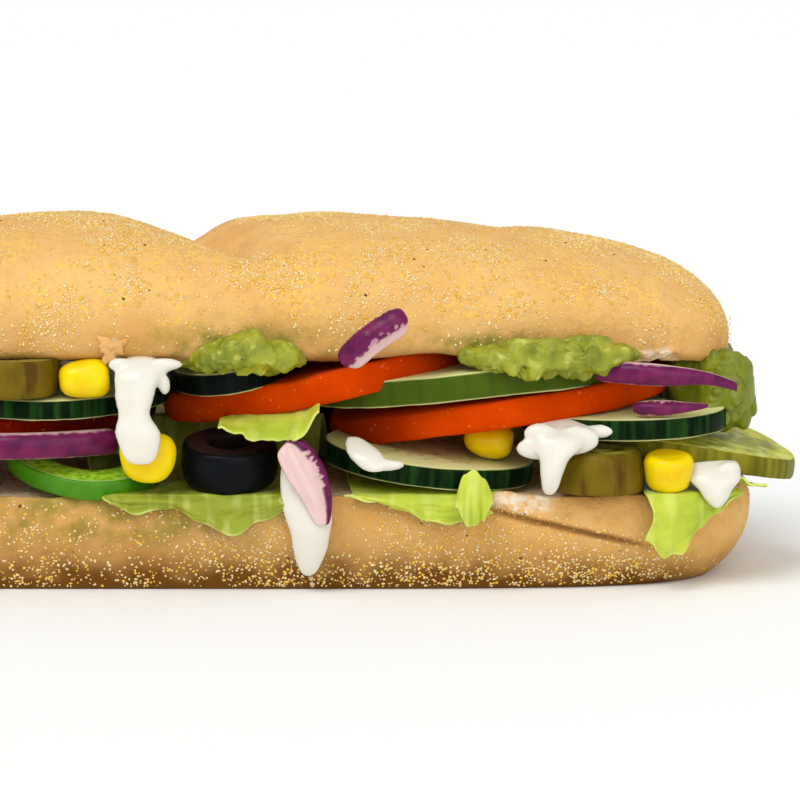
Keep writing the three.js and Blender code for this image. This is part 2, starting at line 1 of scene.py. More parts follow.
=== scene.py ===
"""A submarine sandwich: bread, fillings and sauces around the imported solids, laid out as an add-on."""
import math
import random

import bpy
from mathutils import Matrix, Vector, noise


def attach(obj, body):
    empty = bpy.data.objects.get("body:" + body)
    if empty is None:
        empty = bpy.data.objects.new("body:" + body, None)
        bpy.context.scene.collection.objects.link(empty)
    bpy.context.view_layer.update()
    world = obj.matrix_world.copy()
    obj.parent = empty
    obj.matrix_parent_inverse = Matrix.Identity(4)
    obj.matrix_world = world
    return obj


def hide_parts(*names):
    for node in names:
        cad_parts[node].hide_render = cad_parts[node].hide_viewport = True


bl_info = {
    "name": "Submarine sandwich",
    "version": (1, 0, 0),
    "blender": (4, 5, 0),
    "location": "3D View > Sidebar > Sandwich",
    "description": "Dresses a filled long roll, piece by piece",
    "category": "Add Mesh",
}

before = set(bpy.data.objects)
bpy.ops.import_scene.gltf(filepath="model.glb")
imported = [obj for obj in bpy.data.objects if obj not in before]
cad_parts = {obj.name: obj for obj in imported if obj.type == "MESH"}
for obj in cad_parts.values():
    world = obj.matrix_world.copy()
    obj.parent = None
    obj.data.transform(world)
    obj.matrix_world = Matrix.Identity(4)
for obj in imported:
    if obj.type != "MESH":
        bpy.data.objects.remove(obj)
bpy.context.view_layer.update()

# One millimetre in Blender's metres. Shapes are worked out in millimetres.
MM = 0.001


def linear(code):
    """Turns an sRGB hex colour into linear red, green, blue and alpha."""
    parts = [int(code[i : i + 2], 16) / 255 for i in (0, 2, 4)]
    return [c / 12.92 if c <= 0.04045 else ((c + 0.055) / 1.055) ** 2.4 for c in parts] + [1.0]


# Settings that a user would change


def length(name, description, millimetres):
    """A length property whose default is given in millimetres."""
    return bpy.props.FloatProperty(
        name=name, description=description, default=millimetres * MM, min=0.0, unit="LENGTH", precision=4
    )


def colour(name, description, code):
    """A colour property whose default is given as an sRGB hex value."""
    return bpy.props.FloatVectorProperty(
        name=name, description=description, default=linear(code), size=4, subtype="COLOR", min=0.0, max=1.0
    )


class RollSizes(bpy.types.PropertyGroup):
    width: length("Width", "Across the roll", 82)
    top: length("Top", "Height of the highest hump", 73)
    crown_length: length("Top half length", "Along the top half", 218)
    crown_widest: length("Top half widest", "Height at which the top half is widest", 52)
    crown_end_dip: length("Top half end dip", "How much lower it is widest at its ends", 4.5)
    crown_rim: length("Rim", "Height of the top half's lower rim", 44.8)
    crown_hollow: length("Hollow", "How far the cut face of the top half lies above its rim", 5)
    heel_length: length("Bottom half length", "Along the bottom half", 227)
    heel_widest: length("Bottom half widest", "Height at which the bottom half is widest", 15)
    heel_cut: length("Cut face", "Height of the bottom half's cut face", 19.2)
    base_inset_ends: length("Base inset at the ends", "How far the base lies inside the widest line", 8.5)
    base_inset_sides: length("Base inset at the sides", "How far the base lies inside the widest line", 3.5)
    slash_spacing: length("Slash spacing", "Distance between the slashes over the top", 66)
    grain: length("Grit", "Middle size of the cornmeal grains", 0.5)


class FillingSizes(bpy.types.PropertyGroup):
    tomato: length("Tomato", "Thickness of a tomato slice", 6)
    cucumber: length("Cucumber", "Thickness of a cucumber slice", 4.4)
    pickle: length("Pickle", "Thickness of a pickle slice", 4.4)
    olive_height: length("Olive height", "Height of an olive ring", 8.8)
    olive_hole: length("Olive hole", "Radius of an olive's hole", 4.2)
    leaf: length("Leaf", "Thickness of a lettuce leaf", 0.5)
    leaf_bed: length("Leaf bed", "Height at which leaves lie on the bottom half", 20)
    leaf_hang: length("Leaf hang", "How far from the middle leaves hang down", 42.9)


class FoodColours(bpy.types.PropertyGroup):
    crust: colour("Crust", "Baked crust", "DBA256")
    crust_pale: colour("Pale crust", "Floury and less baked crust", "E7BA74")
    # The browned crust colour is also laid as painted shade: low on the top half, under the flake and along
    # the crease.
    crust_brown: colour("Browned crust", "Crust where it lay in the tin", "6E4410")
    crumb: colour("Crumb", "Torn white crumb", "E9D9BE")
    grit_cream: colour("Cream grit", "Cornmeal, pale grains", "F8E2A6")
    grit_yellow: colour("Yellow grit", "Cornmeal, yellow grains", "F4C650")
    grit_dark: colour("Dark specks", "Scorched bran", "6E3F1C")
    tomato_skin: colour("Tomato skin", "Ripe skin", "D24402")
    tomato_deep: colour("Deep tomato", "Riper patches of the skin", "A62600")
    tomato_flesh: colour("Tomato flesh", "Cut flesh", "D0481C")
    cucumber_skin: colour("Cucumber skin", "Dark skin", "0A1C0A")
    cucumber_stripe: colour("Cucumber stripe", "Light stripes of the skin", "23481A")
    cucumber_peel: colour("Cucumber under its skin", "Side of a thinly peeled slice", "485A16")
    cucumber_face: colour("Cucumber face", "Cut flesh", "DCDD96")
    pepper_skin: colour("Pepper skin", "Green skin", "4C8E06")
    pepper_flesh: colour("Pepper flesh", "Cut flesh", "ABD83A")
    pickle_skin: colour("Pickle skin", "Cured skin", "66641A")
    pickle_face: colour("Pickle face", "Cured flesh", "E6E24A")
    onion_skin: colour("Onion skin", "Purple outer side of a layer", "541040")
    onion_bright: colour("Bright onion skin", "Lighter streaks of the skin", "7E1E54")
    onion_flesh: colour("Onion flesh", "White flesh with a pink tinge", "E4C6BE")
    olive_black: colour("Black olive", "Skin", "070B10")
    olive_green: colour("Green olive", "Skin", "74600F")
    olive_green_flesh: colour("Green olive flesh", "Cut flesh", "9A9442")
    corn: colour("Sweetcorn", "Skin of a kernel", "F4DA00")
    corn_deep: colour("Deep sweetcorn", "Riper patches of a kernel", "EEC400")
    avocado: colour("Avocado", "Mash, light", "A0A32C")
    avocado_deep: colour("Deep avocado", "Mash from under the skin", "6C7816")
    sauce: colour("Sauce", "Creamy white sauce", "E2DED2")
    sauce_sheer: colour("Sheer sauce", "Sauce where it is thin", "DEDACB")
    lettuce: colour("Lettuce", "Leaf", "C8D24A")
    lettuce_deep: colour("Deep lettuce", "Greener parts of a leaf", "A2B638")
    lettuce_wet: colour("Wet lettuce", "Leaf that is pressed on and sodden", "949E30")
    lettuce_pale: colour("Pale lettuce", "Ribs and hems", "D9E283")


# Numbers and curves


def clamp(value, low=0.0, high=1.0):
    return max(low, min(high, value))


def smooth(value, start, end):
    """Smooth step from 0 at start to 1 at end."""
    share = clamp((value - start) / (end - start))
    return share * share * (3 - 2 * share)


def bell(distance, width):
    return math.exp(-((distance / width) ** 2))


def power(value, exponent):
    """Raises a signed number to a power and keeps its sign, which makes a circle square-shouldered."""
    return math.copysign(abs(value) ** exponent, value)


def lumps(p, size, seed=0.0):
    """Smooth lumps of the given size in millimetres, from about -1 to 1."""
    return noise.noise(Vector((p.x / size + seed, p.y / size + 3.1 * seed, p.z / size - seed)))


def tilt(sine):
    """The angle with the given sine, as a share of a right angle."""
    return math.asin(clamp(sine, -1, 1)) / (math.pi / 2)


def fullness(share, bluntness):
    """How full a blunt form is at a share of its half length: 1 in the middle, 0 at its very end."""
    return max(0.0, 1 - abs(share) ** bluntness) ** (1 / bluntness)


def along(values, share):
    """Value at a share (0 to 1) along a list of evenly spaced values."""
    place = clamp(share) * (len(values) - 1)
    first = min(int(place), len(values) - 2)
    mix = smooth(place - first, 0, 1)
    return values[first] * (1 - mix) + values[first + 1] * mix


def curve_at(points, share):
    """Point at a share (0 to 1) along a smooth curve through the given points."""
    place = clamp(share) * (len(points) - 1)
    i = min(int(place), len(points) - 2)
    t = place - i
    a, b, c, d = (Vector(points[clamp(k, 0, len(points) - 1)]) for k in (i - 1, i, i + 1, i + 2))
    return 0.5 * (2 * b + (c - a) * t + (2 * a - 5 * b + 4 * c - d) * t**2 + (3 * b - a - 3 * c + d) * t**3)


# Modelling


def primitive(name, add, **settings):
    """Adds one of Blender's primitives at the origin, with nothing else selected, and names it."""
    bpy.ops.object.select_all(action="DESELECT")
    add(location=(0, 0, 0), **settings)
    obj = bpy.context.object
    obj.name = name
    obj.data.name = name
    return obj


def ball(name, segments, rings):
    sphere = bpy.ops.mesh.primitive_uv_sphere_add
    return primitive(name, sphere, segments=segments, ring_count=rings, radius=1)


def model(obj, form, lay=None, marks=None):
    """Shapes a primitive. form turns one of its points into millimetres on the flat piece, and lay puts that
    in its place. The flat place is kept as the attribute "flat", and each of marks as one more attribute."""
    mesh = obj.data
    units = [vertex.co.copy() for vertex in mesh.vertices]
    flat = [form(unit) for unit in units]
    kept = mesh.attributes.new("flat", "FLOAT_VECTOR", "POINT")
    kept.data.foreach_set("vector", [value for p in flat for value in p])
    for name, mark in (marks or {}).items():
        values = mesh.attributes.new(name, "FLOAT", "POINT")
        values.data.foreach_set("value", [mark(unit, p) for unit, p in zip(units, flat)])
    for vertex, p in zip(mesh.vertices, flat):
        vertex.co = (lay(p) if lay else p) * MM
    mesh.update()
    return obj


def modifier(obj, kind, **settings):
    """Adds a modifier to one piece, sets it and applies it."""
    bpy.ops.object.select_all(action="DESELECT")
    bpy.context.view_layer.objects.active = obj
    obj.select_set(True)
    bpy.ops.object.modifier_add(type=kind)
    made = obj.modifiers[-1]
    for key, value in settings.items():
        setattr(made, key, value)
    bpy.ops.object.modifier_apply(modifier=made.name)


def joined(name, parts):
    """Makes one object of several."""
    bpy.ops.object.select_all(action="DESELECT")
    for part in parts:
        part.select_set(True)
    bpy.context.view_layer.objects.active = parts[0]
    bpy.ops.object.join()
    parts[0].name = name
    parts[0].data.name = name
    return parts[0]


def finished(obj, material, slot, *nodes):
    """Smooth-shades a piece, gives it its material and ties it to the frame."""
    obj.data.shade_smooth()
    obj.data.materials.clear()
    obj.data.materials.append(material)
    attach(obj, "root")
    if nodes:
        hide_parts(*nodes)
    return obj


def laid(x, y, z, rise=0.0, lean=0.0, turn=0.0, bow=None):
    """Lays a flat piece in its place: turn spins it, lean dips the side nearest -Y and rise lifts its +X
    side. bow is (middle, rate, side) and curves it down along X on that side of the middle."""
    place = (
        Matrix.Translation((x, y, z))
        @ Matrix.Rotation(-math.radians(rise), 4, "Y")
        @ Matrix.Rotation(math.radians(lean), 4, "X")
        @ Matrix.Rotation(math.radians(turn), 4, "Z")
    )

    def lay(p):
        q = place @ p
        if bow:
            middle, rate, side = bow
            if (q.x - middle) * side > 0:
                q.z -= rate * (q.x - middle) ** 2
        return q

    return lay


# Materials

# Sockets of the Mix node where it mixes colours: its share, the colour below, the one above, and the result
MIX_SHARE, MIX_BELOW, MIX_ABOVE, MIX_RESULT = 0, 6, 7, 2


def add_node(material, kind, inputs=None, output=0, **settings):
    """Adds a node to a material with its settings, feeds its inputs and gives back one of its outputs. An
    input that is another node's output is linked, and any other is a value."""
    made = material.node_tree.nodes.new(kind)
    for key, value in settings.items():
        setattr(made, key, value)
    for key, value in (inputs or {}).items():
        if isinstance(value, bpy.types.NodeSocket):
            material.node_tree.links.new(value, made.inputs[key])
        else:
            made.inputs[key].default_value = value
    return made.outputs[output] if made.outputs else None


class Finish:
    """A material under construction. A pattern is a socket that runs from 0 to 1 over the surface."""

    def __init__(self, name):
        self.material = bpy.data.materials.new(name)
        self.material.use_nodes = True
        self.material.node_tree.nodes.clear()
        self.place = self.add("ShaderNodeTexCoord", output="Object")
        self.flat = self.add("ShaderNodeAttribute", output="Vector", attribute_name="flat")

    def add(self, kind, inputs=None, output=0, **settings):
        return add_node(self.material, kind, inputs, output, **settings)

    def marked(self, name):
        """The pattern that the piece carries as an attribute."""
        return self.add("ShaderNodeAttribute", output="Fac", attribute_name=name)

    def grain(self, size, on_flat=False, detail=3.0, low=0.35, high=0.65, squash=(1, 1, 1)):
        """A pattern of lumps that are size millimetres across, cut off at low and high. It follows the piece
        as it was before it was laid, or the finished object."""
        unit = 1.0 if on_flat else MM
        scale = [share / (size * unit) for share in squash]
        source = self.flat if on_flat else self.place
        place = self.add("ShaderNodeMapping", {"Vector": source, "Scale": scale})
        lumpy = self.add("ShaderNodeTexNoise", {"Vector": place, "Scale": 1.0, "Detail": detail})
        return self.add("ShaderNodeMapRange", {"Value": lumpy, "From Min": low, "From Max": high})

    def painted(self, shade, *layers):
        """A colour with others laid over it. Each layer is its colour and the patterns and numbers whose
        product says how much it covers."""
        for colour_over, first, *others in layers:
            share = first
            for other in others:
                share = self.add("ShaderNodeMath", {0: share, 1: other}, operation="MULTIPLY")
            inputs = {MIX_SHARE: share, MIX_BELOW: shade, MIX_ABOVE: colour_over}
            shade = self.add("ShaderNodeMix", inputs, MIX_RESULT, data_type="RGBA")
        return shade

    def done(self, shade, shader, *reliefs):
        """Ends the material. Each relief is a pattern, its height in millimetres and its strength."""
        inputs = {"Base Color": shade, **shader}
        for pattern, height, strength in reliefs:
            relief = {"Height": pattern, "Distance": height * MM, "Strength": strength}
            if "Normal" in inputs:
                relief["Normal"] = inputs["Normal"]
            inputs["Normal"] = self.add("ShaderNodeBump", relief)
        surface = self.add("ShaderNodeBsdfPrincipled", inputs)
        self.add("ShaderNodeOutputMaterial", {"Surface": surface})
        return self.material


def tones():
    return bpy.context.scene.food_colours


def shine(roughness, ior, level, scattered=0.0, depth=0.0, reach=None):
    """How a surface takes light: its roughness, IOR and specular level, the share that scatters inside it,
    how deep in millimetres, and how far of that red, green and blue reach."""
    settings = {"Roughness": roughness, "IOR": ior, "Specular IOR Level": level}
    if scattered:
        settings["Subsurface Weight"] = scattered
        settings["Subsurface Scale"] = depth * MM
    if reach:
        settings["Subsurface Radius"] = reach
    return settings


def crust_finish():
    """Baked wheat crust: matt and mottled, dusted with cornmeal, browned where it lay in the tin, darkened
    with painted shade low on the top half, under the torn flake and under the lip of the crease, and white
    where it is torn."""
    c = tones()
    f = Finish("baked_wheat_crust")
    dust = f.grain(0.75, detail=2, low=0.5, high=0.6)
    patches = f.grain(8, detail=3, low=0.42, high=0.6)
    freckles = f.grain(2.4, detail=4, low=0.5, high=0.8)
    shade = f.painted(
        c.crust,
        (c.crust_pale, f.grain(17, detail=4)),
        (c.crust_pale, f.marked("dusted"), 0.5),
        (c.crust_brown, freckles, 0.2),
        (c.grit_yellow, dust, patches, f.marked("dusted"), 0.75),
        (c.avocado_deep, f.marked("stained"), f.grain(4)),
        # Tin browning on the bottom half, and painted shade low on the top half, under the flake and beneath
        # the crease.
        (c.crust_brown, f.marked("browned")),
        (f.painted(c.crust, (c.crumb, f.grain(1.3, low=0.3, high=0.6))), f.marked("crumb")),
    )
    shader = shine(roughness=0.6, ior=1.45, level=0.12)
    rough = f.grain(0.8, detail=4, low=0.2, high=0.8)
    return f.done(shade, shader, (f.grain(3.2, detail=5, low=0.2, high=0.8), 0.25, 1.0), (rough, 0.14, 0.8))


def grit_finish(name, shade):
    """Dry cornmeal: hard, slightly glassy grains."""
    f = Finish(name)
    darker = [value * 0.8 for value in shade[:3]] + [1.0]
    shader = shine(roughness=0.5, ior=1.5, level=0.3)
    return f.done(f.painted(shade, (darker, f.grain(0.9, low=0.4, high=0.8))), shader)


def tomato_finish(name, ripe, deep):
    """Wet tomato: a thin smooth skin over translucent flesh, with fine light speckles that are painted
    highlights. It mirrors nothing, because faces seen from as low as these would turn grey with the white
    around them, so the speckles stand in for its glints."""
    f = Finish(name)
    flesh = f.painted(tones().tomato_flesh, (ripe, f.grain(2.2, detail=4)))
    # Painted highlights: sparse pale orange speckles on the skin.
    speckles = f.grain(0.9, detail=1, low=0.7, high=0.78)
    skin = f.painted(ripe, (deep, f.grain(11), 0.5), (linear("F59A50"), speckles, 0.6))
    shade = f.painted(flesh, (skin, f.marked("skin")))
    shader = shine(roughness=0.26, ior=1.36, level=0.0, scattered=0.15, depth=2, reach=(1.0, 0.3, 0.1))
    return f.done(shade, shader, (f.grain(1.1, low=0.3, high=0.7), 0.06, 0.4))


def cucumber_finish(name, skin, stripe, striped):
    """Cucumber: waxy skin with fine light stripes across the slice's rim and a pale line where it is cut,
    and pale wet flesh with seeds."""
    c = tones()
    f = Finish(name)
    stripes = f.grain(2.3, True, detail=2, low=0.45, high=0.65, squash=(1, 1, 0.08))
    rim = f.painted(skin, (stripe, stripes, striped), (c.cucumber_face, f.marked("edge"), 0.7))
    face = f.painted(
        c.cucumber_face,
        (linear("9FAA58"), f.grain(2.0, True, detail=1, low=0.5, high=0.6), f.marked("core"), 0.7),
        (linear("E4E4B4"), f.grain(1.2), 0.35),
    )
    shade = f.painted(face, (rim, f.marked("skin")))
    shader = shine(roughness=0.38, ior=1.38, level=0.04, scattered=0.05, depth=1.5)
    return f.done(shade, shader, (stripes, 0.1, 0.5), (f.grain(1.2, low=0.3, high=0.7), 0.08, 0.4))


def pepper_finish():
    """Green pepper: smooth waxy skin with a pale line where it is cut, and juicy flesh with a fine nap."""
    c = tones()
    f = Finish("green_pepper")
    flesh = f.painted(c.pepper_flesh, (linear("669E12"), f.grain(1.3, True, low=0.4, high=0.7)))
    skin = f.painted(c.pepper_skin, (linear("397A08"), f.grain(7)), (linear("BCDD7C"), f.marked("edge"), 0.8))
    shader = shine(roughness=0.24, ior=1.4, level=0.35, scattered=0.08, depth=2)
    shade = f.painted(flesh, (skin, f.marked("skin")))
    return f.done(shade, shader, (f.grain(0.8, low=0.3, high=0.7), 0.12, 0.5))


def pickle_finish():
    """Pickled cucumber: cured olive-brown skin with ridges, and wet translucent flesh."""
    c = tones()
    f = Finish("pickled_cucumber")
    ridges = f.grain(2.8, True, detail=2, low=0.4, high=0.62, squash=(1, 1, 0.08))
    skin = f.painted(c.pickle_skin, (linear("8A8226"), ridges))
    face = f.painted(
        c.pickle_face,
        (linear("8F9430"), f.grain(5, True, detail=3)),
        (linear("DADB84"), f.grain(3, True, detail=2, low=0.5, high=0.7)),
    )
    shader = shine(roughness=0.3, ior=1.38, level=0.04, scattered=0.1, depth=2)
    return f.done(f.painted(face, (skin, f.marked("skin"))), shader, (ridges, 0.18, 0.6))


def onion_finish():
    """Red onion: a purple membrane over white flesh with fine lengthwise fibres."""
    c = tones()
    f = Finish("red_onion")
    fibres = f.grain(0.9, True, detail=2, low=0.4, high=0.65, squash=(0.1, 1, 1))
    skin = f.painted(c.onion_skin, (c.onion_bright, f.grain(3.4, True, detail=3), 0.8))
    blush = (linear("B06E8C"), f.marked("blush"), 0.8)
    flesh = f.painted(c.onion_flesh, (linear("C99AA8"), fibres, 0.3), blush)
    shader = shine(roughness=0.3, ior=1.38, level=0.3, scattered=0.12, depth=1.5)
    return f.done(f.painted(flesh, (skin, f.marked("skin"))), shader, (fibres, 0.05, 0.4))


def olive_finish(name, skin, flesh, bruise, bruised):
    """Cured olive: a taut satin skin with upright bruises, and dull flesh where it is cut."""
    f = Finish(name)
    bruises = f.grain(3.2, True, detail=2, low=0.52, high=0.66, squash=(1, 1, 0.15))
    darker = [value * 0.7 for value in skin[:3]] + [1.0]
    taut = f.painted(skin, (darker, f.grain(5, True, detail=3)), (bruise, bruises, bruised))
    cut = f.painted(flesh, (skin, f.grain(1.4), 0.6))
    shader = shine(roughness=0.36, ior=1.42, level=0.12)
    shade = f.painted(cut, (taut, f.marked("skin")))
    return f.done(shade, shader, (f.grain(2.0, low=0.3, high=0.7), 0.1, 0.4))


def corn_finish():
    """Sweetcorn: a thin glossy skin over translucent yellow flesh."""
    c = tones()
    f = Finish("sweetcorn")
    shader = shine(roughness=0.22, ior=1.42, level=0.3, scattered=0.12, depth=1.5, reach=(1.0, 0.8, 0.1))
    shade = f.painted(c.corn, (c.corn_deep, f.grain(5)))
    return f.done(shade, shader, (f.grain(1.5, low=0.3, high=0.7), 0.05, 0.4))


def avocado_finish(name, ripeness):
    """Mashed avocado: moist and lumpy, light and dark green stirred together. The riper, the lighter."""
    c = tones()
    f = Finish(name)
    shade = f.painted(
        c.avocado_deep,
        (c.avocado, f.grain(6, detail=3, low=0.32, high=0.6), ripeness),
        (linear("C6C860"), f.grain(2.2, detail=2, low=0.56, high=0.8), ripeness),
    )
    shader = shine(roughness=0.3, ior=1.44, level=0.35, scattered=0.05, depth=1.5)
    return f.done(shade, shader, (f.grain(1.6, detail=2, low=0.2, high=0.8), 0.22, 0.5))


def sauce_finish():
    """Creamy white sauce: glossy, with light scattered deep under its skin, and greyer in soft patches."""
    c = tones()
    f = Finish("creamy_sauce")
    shader = shine(roughness=0.18, ior=1.42, level=0.5, scattered=0.25, depth=1.2, reach=(1.0, 0.9, 0.75))
    shade = f.painted(c.sauce, (c.sauce_sheer, f.grain(6), 0.5))
    return f.done(shade, shader, (f.grain(3.5, low=0.3, high=0.7), 0.15, 0.3))


def lettuce_finish(name, leaf, deep):
    """Lettuce: a thin translucent leaf with fine veins that run down it, blistered flesh and a pale hem."""
    c = tones()
    f = Finish(name)
    veins = f.grain(2.6, True, detail=1, low=0.5, high=0.62, squash=(1, 0.3, 0.16))
    shade = f.painted(
        leaf,
        (deep, f.grain(7, True, detail=3), 0.8),
        (c.lettuce_pale, veins, 0.3),
        (c.lettuce_pale, f.marked("hem")),
    )
    shader = shine(roughness=0.36, ior=1.4, level=0.16, scattered=0.12, depth=1)
    blisters = f.grain(2.6, detail=3, low=0.2, high=0.8)
    return f.done(shade, shader, (blisters, 0.3, 0.5), (veins, 0.1, 0.4))


# Bread

# Where the slash that shows deepest lies along the roll, and how much slashes slant on the near side
FIRST_SLASH = -5.6
SLASH_SLANT = math.radians(65)

# The torn crease on the near side of the bottom half: where it starts, how high, and how much it falls
CREASE_START = 58
CREASE_HIGH = 17.2
CREASE_FALL = 0.245

# How many pale grains lie on each half, how many specks, and where each half's random draws start
CROWN_GRAINS = 15000
HEEL_GRAINS = 5600
SPECKS = 70
CROWN_SEED = 10
HEEL_SEED = 20


def past_slash(x, y, middle):
    """How far a point lies to the right of a slash, which runs slantwise on the near side."""
    return (x - middle) * math.sin(SLASH_SLANT) + min(y, 0) * math.cos(SLASH_SLANT)


def slash_depth(x, y, spacing):
    """How deep the slashes over the top are. The hump at the left of each falls to a ridge, and behind the
    ridge lies a pocket that rises steeply to the next hump."""
    fade = 1 - smooth(y, 26, 40) if y > 0 else 1 - smooth(-y, 16, 38)
    depth = 0.0
    for middle, deep in ((FIRST_SLASH, 6.4), (FIRST_SLASH + spacing, 1.5), (FIRST_SLASH - spacing, 3.6)):
        past = past_slash(x, y, middle)
        if past < 0:
            share = max(0.0, 1 + past / 22) ** 1.9
        else:
            share = 0.7 * max(0.0, 1 - past / 10) ** 1.6 + 0.3 * (1 - smooth(past, 0, 27))
            share += 0.16 * smooth(past, 0, 0.9) * bell(past, 5)
        depth += deep * fade * share
    return depth


def torn_rim(p):
    """Where the near rim of the top half is torn, at its right."""
    return bell(p.x - 91.5, 6) * bell(p.z - 46.6, 2.2) if p.y < 0 else 0.0


def crown_form(roll):
    half_width = roll.width / MM / 2
    half_length = roll.crown_length / MM / 2
    widest = roll.crown_widest / MM
    end_dip = roll.crown_end_dip / MM
    dome = roll.top / MM - widest
    below = widest - roll.crown_rim / MM
    hollow = roll.crown_hollow / MM
    spacing = roll.slash_spacing / MM
    lift_x, lift_high, lift_wide = 46, 2.4, 10

    def form(unit):
        p = Vector((unit.z, unit.x, unit.y))
        even = tilt(p.x)
        share = (even + p.x) / 2
        full = fullness(share, 3.3)
        ring = math.hypot(p.y, p.z) or 1
        side = p.y / ring
        up = p.z / ring
        x = share * half_length
        y = power(side, 0.82) * full * half_width
        lift = lift_high * bell(x - lift_x, lift_wide) if y < 0 else 0
        rim = below - lift - hollow * (1 - smooth(abs(side), 0.72, 0.88))
        if up > 0:
            height = power(up, 0.9) * dome * full**1.6
        else:
            height = power(up, 0.35) * rim * min(1, 2 * full)
        q = Vector((x, y, widest - end_dip * (1 - full) + height))
        if up > 0:
            q.z -= up * slash_depth(x, y, spacing) * full
        outward = Vector((0.3 * share, side, up))
        swell = 0.9 * lumps(q, 34, 2) * full + 0.4 * lumps(q, 13, 5) + 0.14 * lumps(q, 4.5, 8)
        swell += 1.0 * bell(x + 34, 17) * max(0.0, up)
        cut = smooth(-up, 0.35, 0.6)
        swell = swell * (1 - cut) + cut * (0.5 * lumps(q, 5, 9) + 0.35 * lumps(q, 1.8, 4))
        swell += 1.4 * torn_rim(q) * (lumps(q, 2.2, 6) + 0.5 * lumps(q, 1.1, 7))
        return q + outward * swell

    return form


def crown_marks():
    """Where the top half's crumb shows, and where its crust is stained by avocado, dusted or darkened with
    painted shade.
    """

    def crumb(unit, p):
        cut = smooth(-unit.y / (math.hypot(unit.x, unit.y) or 1), 0.45, 0.62)
        flake = bell(p.x + 17.5, 1.8) * bell(p.z - 48.6, 1.9) if p.y < 0 else 0
        return clamp(cut + 1.6 * smooth(flake + torn_rim(p) + 0.25 * lumps(p, 1.6, 3), 0.35, 0.7))

    def stained(unit, p):
        if p.y > 0:
            return 0.0
        near = bell(p.x - 9, 17) * bell(p.z - 49.5, 4) + bell(p.x - 58, 14) * bell(p.z - 50, 2.6)
        return clamp(1.3 * near)

    def dusted(unit, p):
        past = past_slash(p.x, p.y, FIRST_SLASH)
        pocket = smooth(past, -0.6, 0.6) * (1 - smooth(past, 8, 12)) * (1 - smooth(abs(p.y), 24, 32))
        return smooth(p.z, 44, 60) * (1 - pocket)

    # Painted shade: the crust darkens towards the rim of the top half, where less light falls, and the shade
    # fades out towards the right end, which is kept light as painted light.
    def browned(unit, p):
        return 0.32 * (1 - smooth(p.z, 42, 64)) * (1 - smooth(p.x, 70, 100))

    return {"crumb": crumb, "stained": stained, "browned": browned, "dusted": dusted}


def flake_form(unit):
    """A flake of crust that is torn up from the top half, over the sweetcorn."""
    corners = 1 + 0.3 * math.sin(3 * math.atan2(unit.z, unit.x) + 0.7)
    outline = Vector((2.4 * power(unit.x, 0.7), 0.5 * unit.y, 2.3 * power(unit.z, 0.7)))
    p = Vector((-17.8, -41.3, 49.6)) + outline * corners
    return p + Vector((unit.x, 0.6 * unit.y, unit.z)) * 1.3 * lumps(p, 1.1, 5)


def flake_marks():
    # The flake darkens towards its underside, which is painted shade.
    return {"crumb": lambda unit, p: 0.1, "browned": lambda unit, p: 0.08 - 0.08 * unit.z}


def crease_height(x):
    """Height of the torn crease on the near side of the bottom half."""
    return CREASE_HIGH - CREASE_FALL * (x - CREASE_START)


def heel_form(roll):
    half_width = roll.width / MM / 2 + 0.5
    half_length = roll.heel_length / MM / 2
    widest = roll.heel_widest / MM
    cut_height = roll.heel_cut / MM
    ends = roll.base_inset_ends / MM
    sides = roll.base_inset_sides / MM
    disc_share = 0.3

    def form(unit):
        latitude = tilt(unit.z)
        angle = math.atan2(unit.y, unit.x)
        reach = 1.0
        if abs(latitude) > 1 - disc_share:
            reach = ((1 - abs(latitude)) / disc_share) ** 0.8
        height = clamp((latitude / (1 - disc_share) + 1) / 2)
        z = cut_height * height
        below = max(0.0, 1 - z / widest) ** 2.4
        above = max(0.0, (z - widest) / (cut_height - widest)) ** 2
        plan_x = math.cos(angle)
        plan_y = math.copysign(fullness(plan_x, 4.6), math.sin(angle))
        x = plan_x * (half_length - ends * below - 1.5 * above) * reach
        y = plan_y * (half_width - sides * below - 1.2 * above) * reach
        q = Vector((x, y, z))
        outer = smooth(reach, 0.9, 1)
        swell = 0.5 * lumps(q, 30, 5) + 0.3 * lumps(q, 11, 6) + 0.12 * lumps(q, 4, 7)
        if y < 0 and 50 < x < 96:
            over = z - crease_height(x) - 0.35 * lumps(q, 2.5, 4)
            fade = smooth(x, 54, 61) * (1 - smooth(x, 82, 93))
            swell += fade * (0.9 * smooth(over, -0.2, 0.3) * bell(over, 3) - 1.5 * bell(over + 0.45, 0.6))
        rest = smooth(z, 0.2, 1.5)
        q += Vector((plan_x, plan_y, 0)).normalized() * swell * outer * rest
        if abs(y) > 0.8 * half_width:
            q.z += (0.9 * lumps(q, 11, 2) + 0.3 * lumps(q, 3, 4)) * smooth(z, 12, 19)
        q.z += (1.6 + 0.7 * lumps(q, 2.2, 5)) * bell(x - 62, 6) * smooth(-y, 34, 39) * smooth(z, 14, 19)
        if latitude > 0 and reach < 1:
            q.z += 0.35 * lumps(q, 5, 9) + 0.25 * lumps(q, 1.8, 4) - 0.3
        return q

    return form


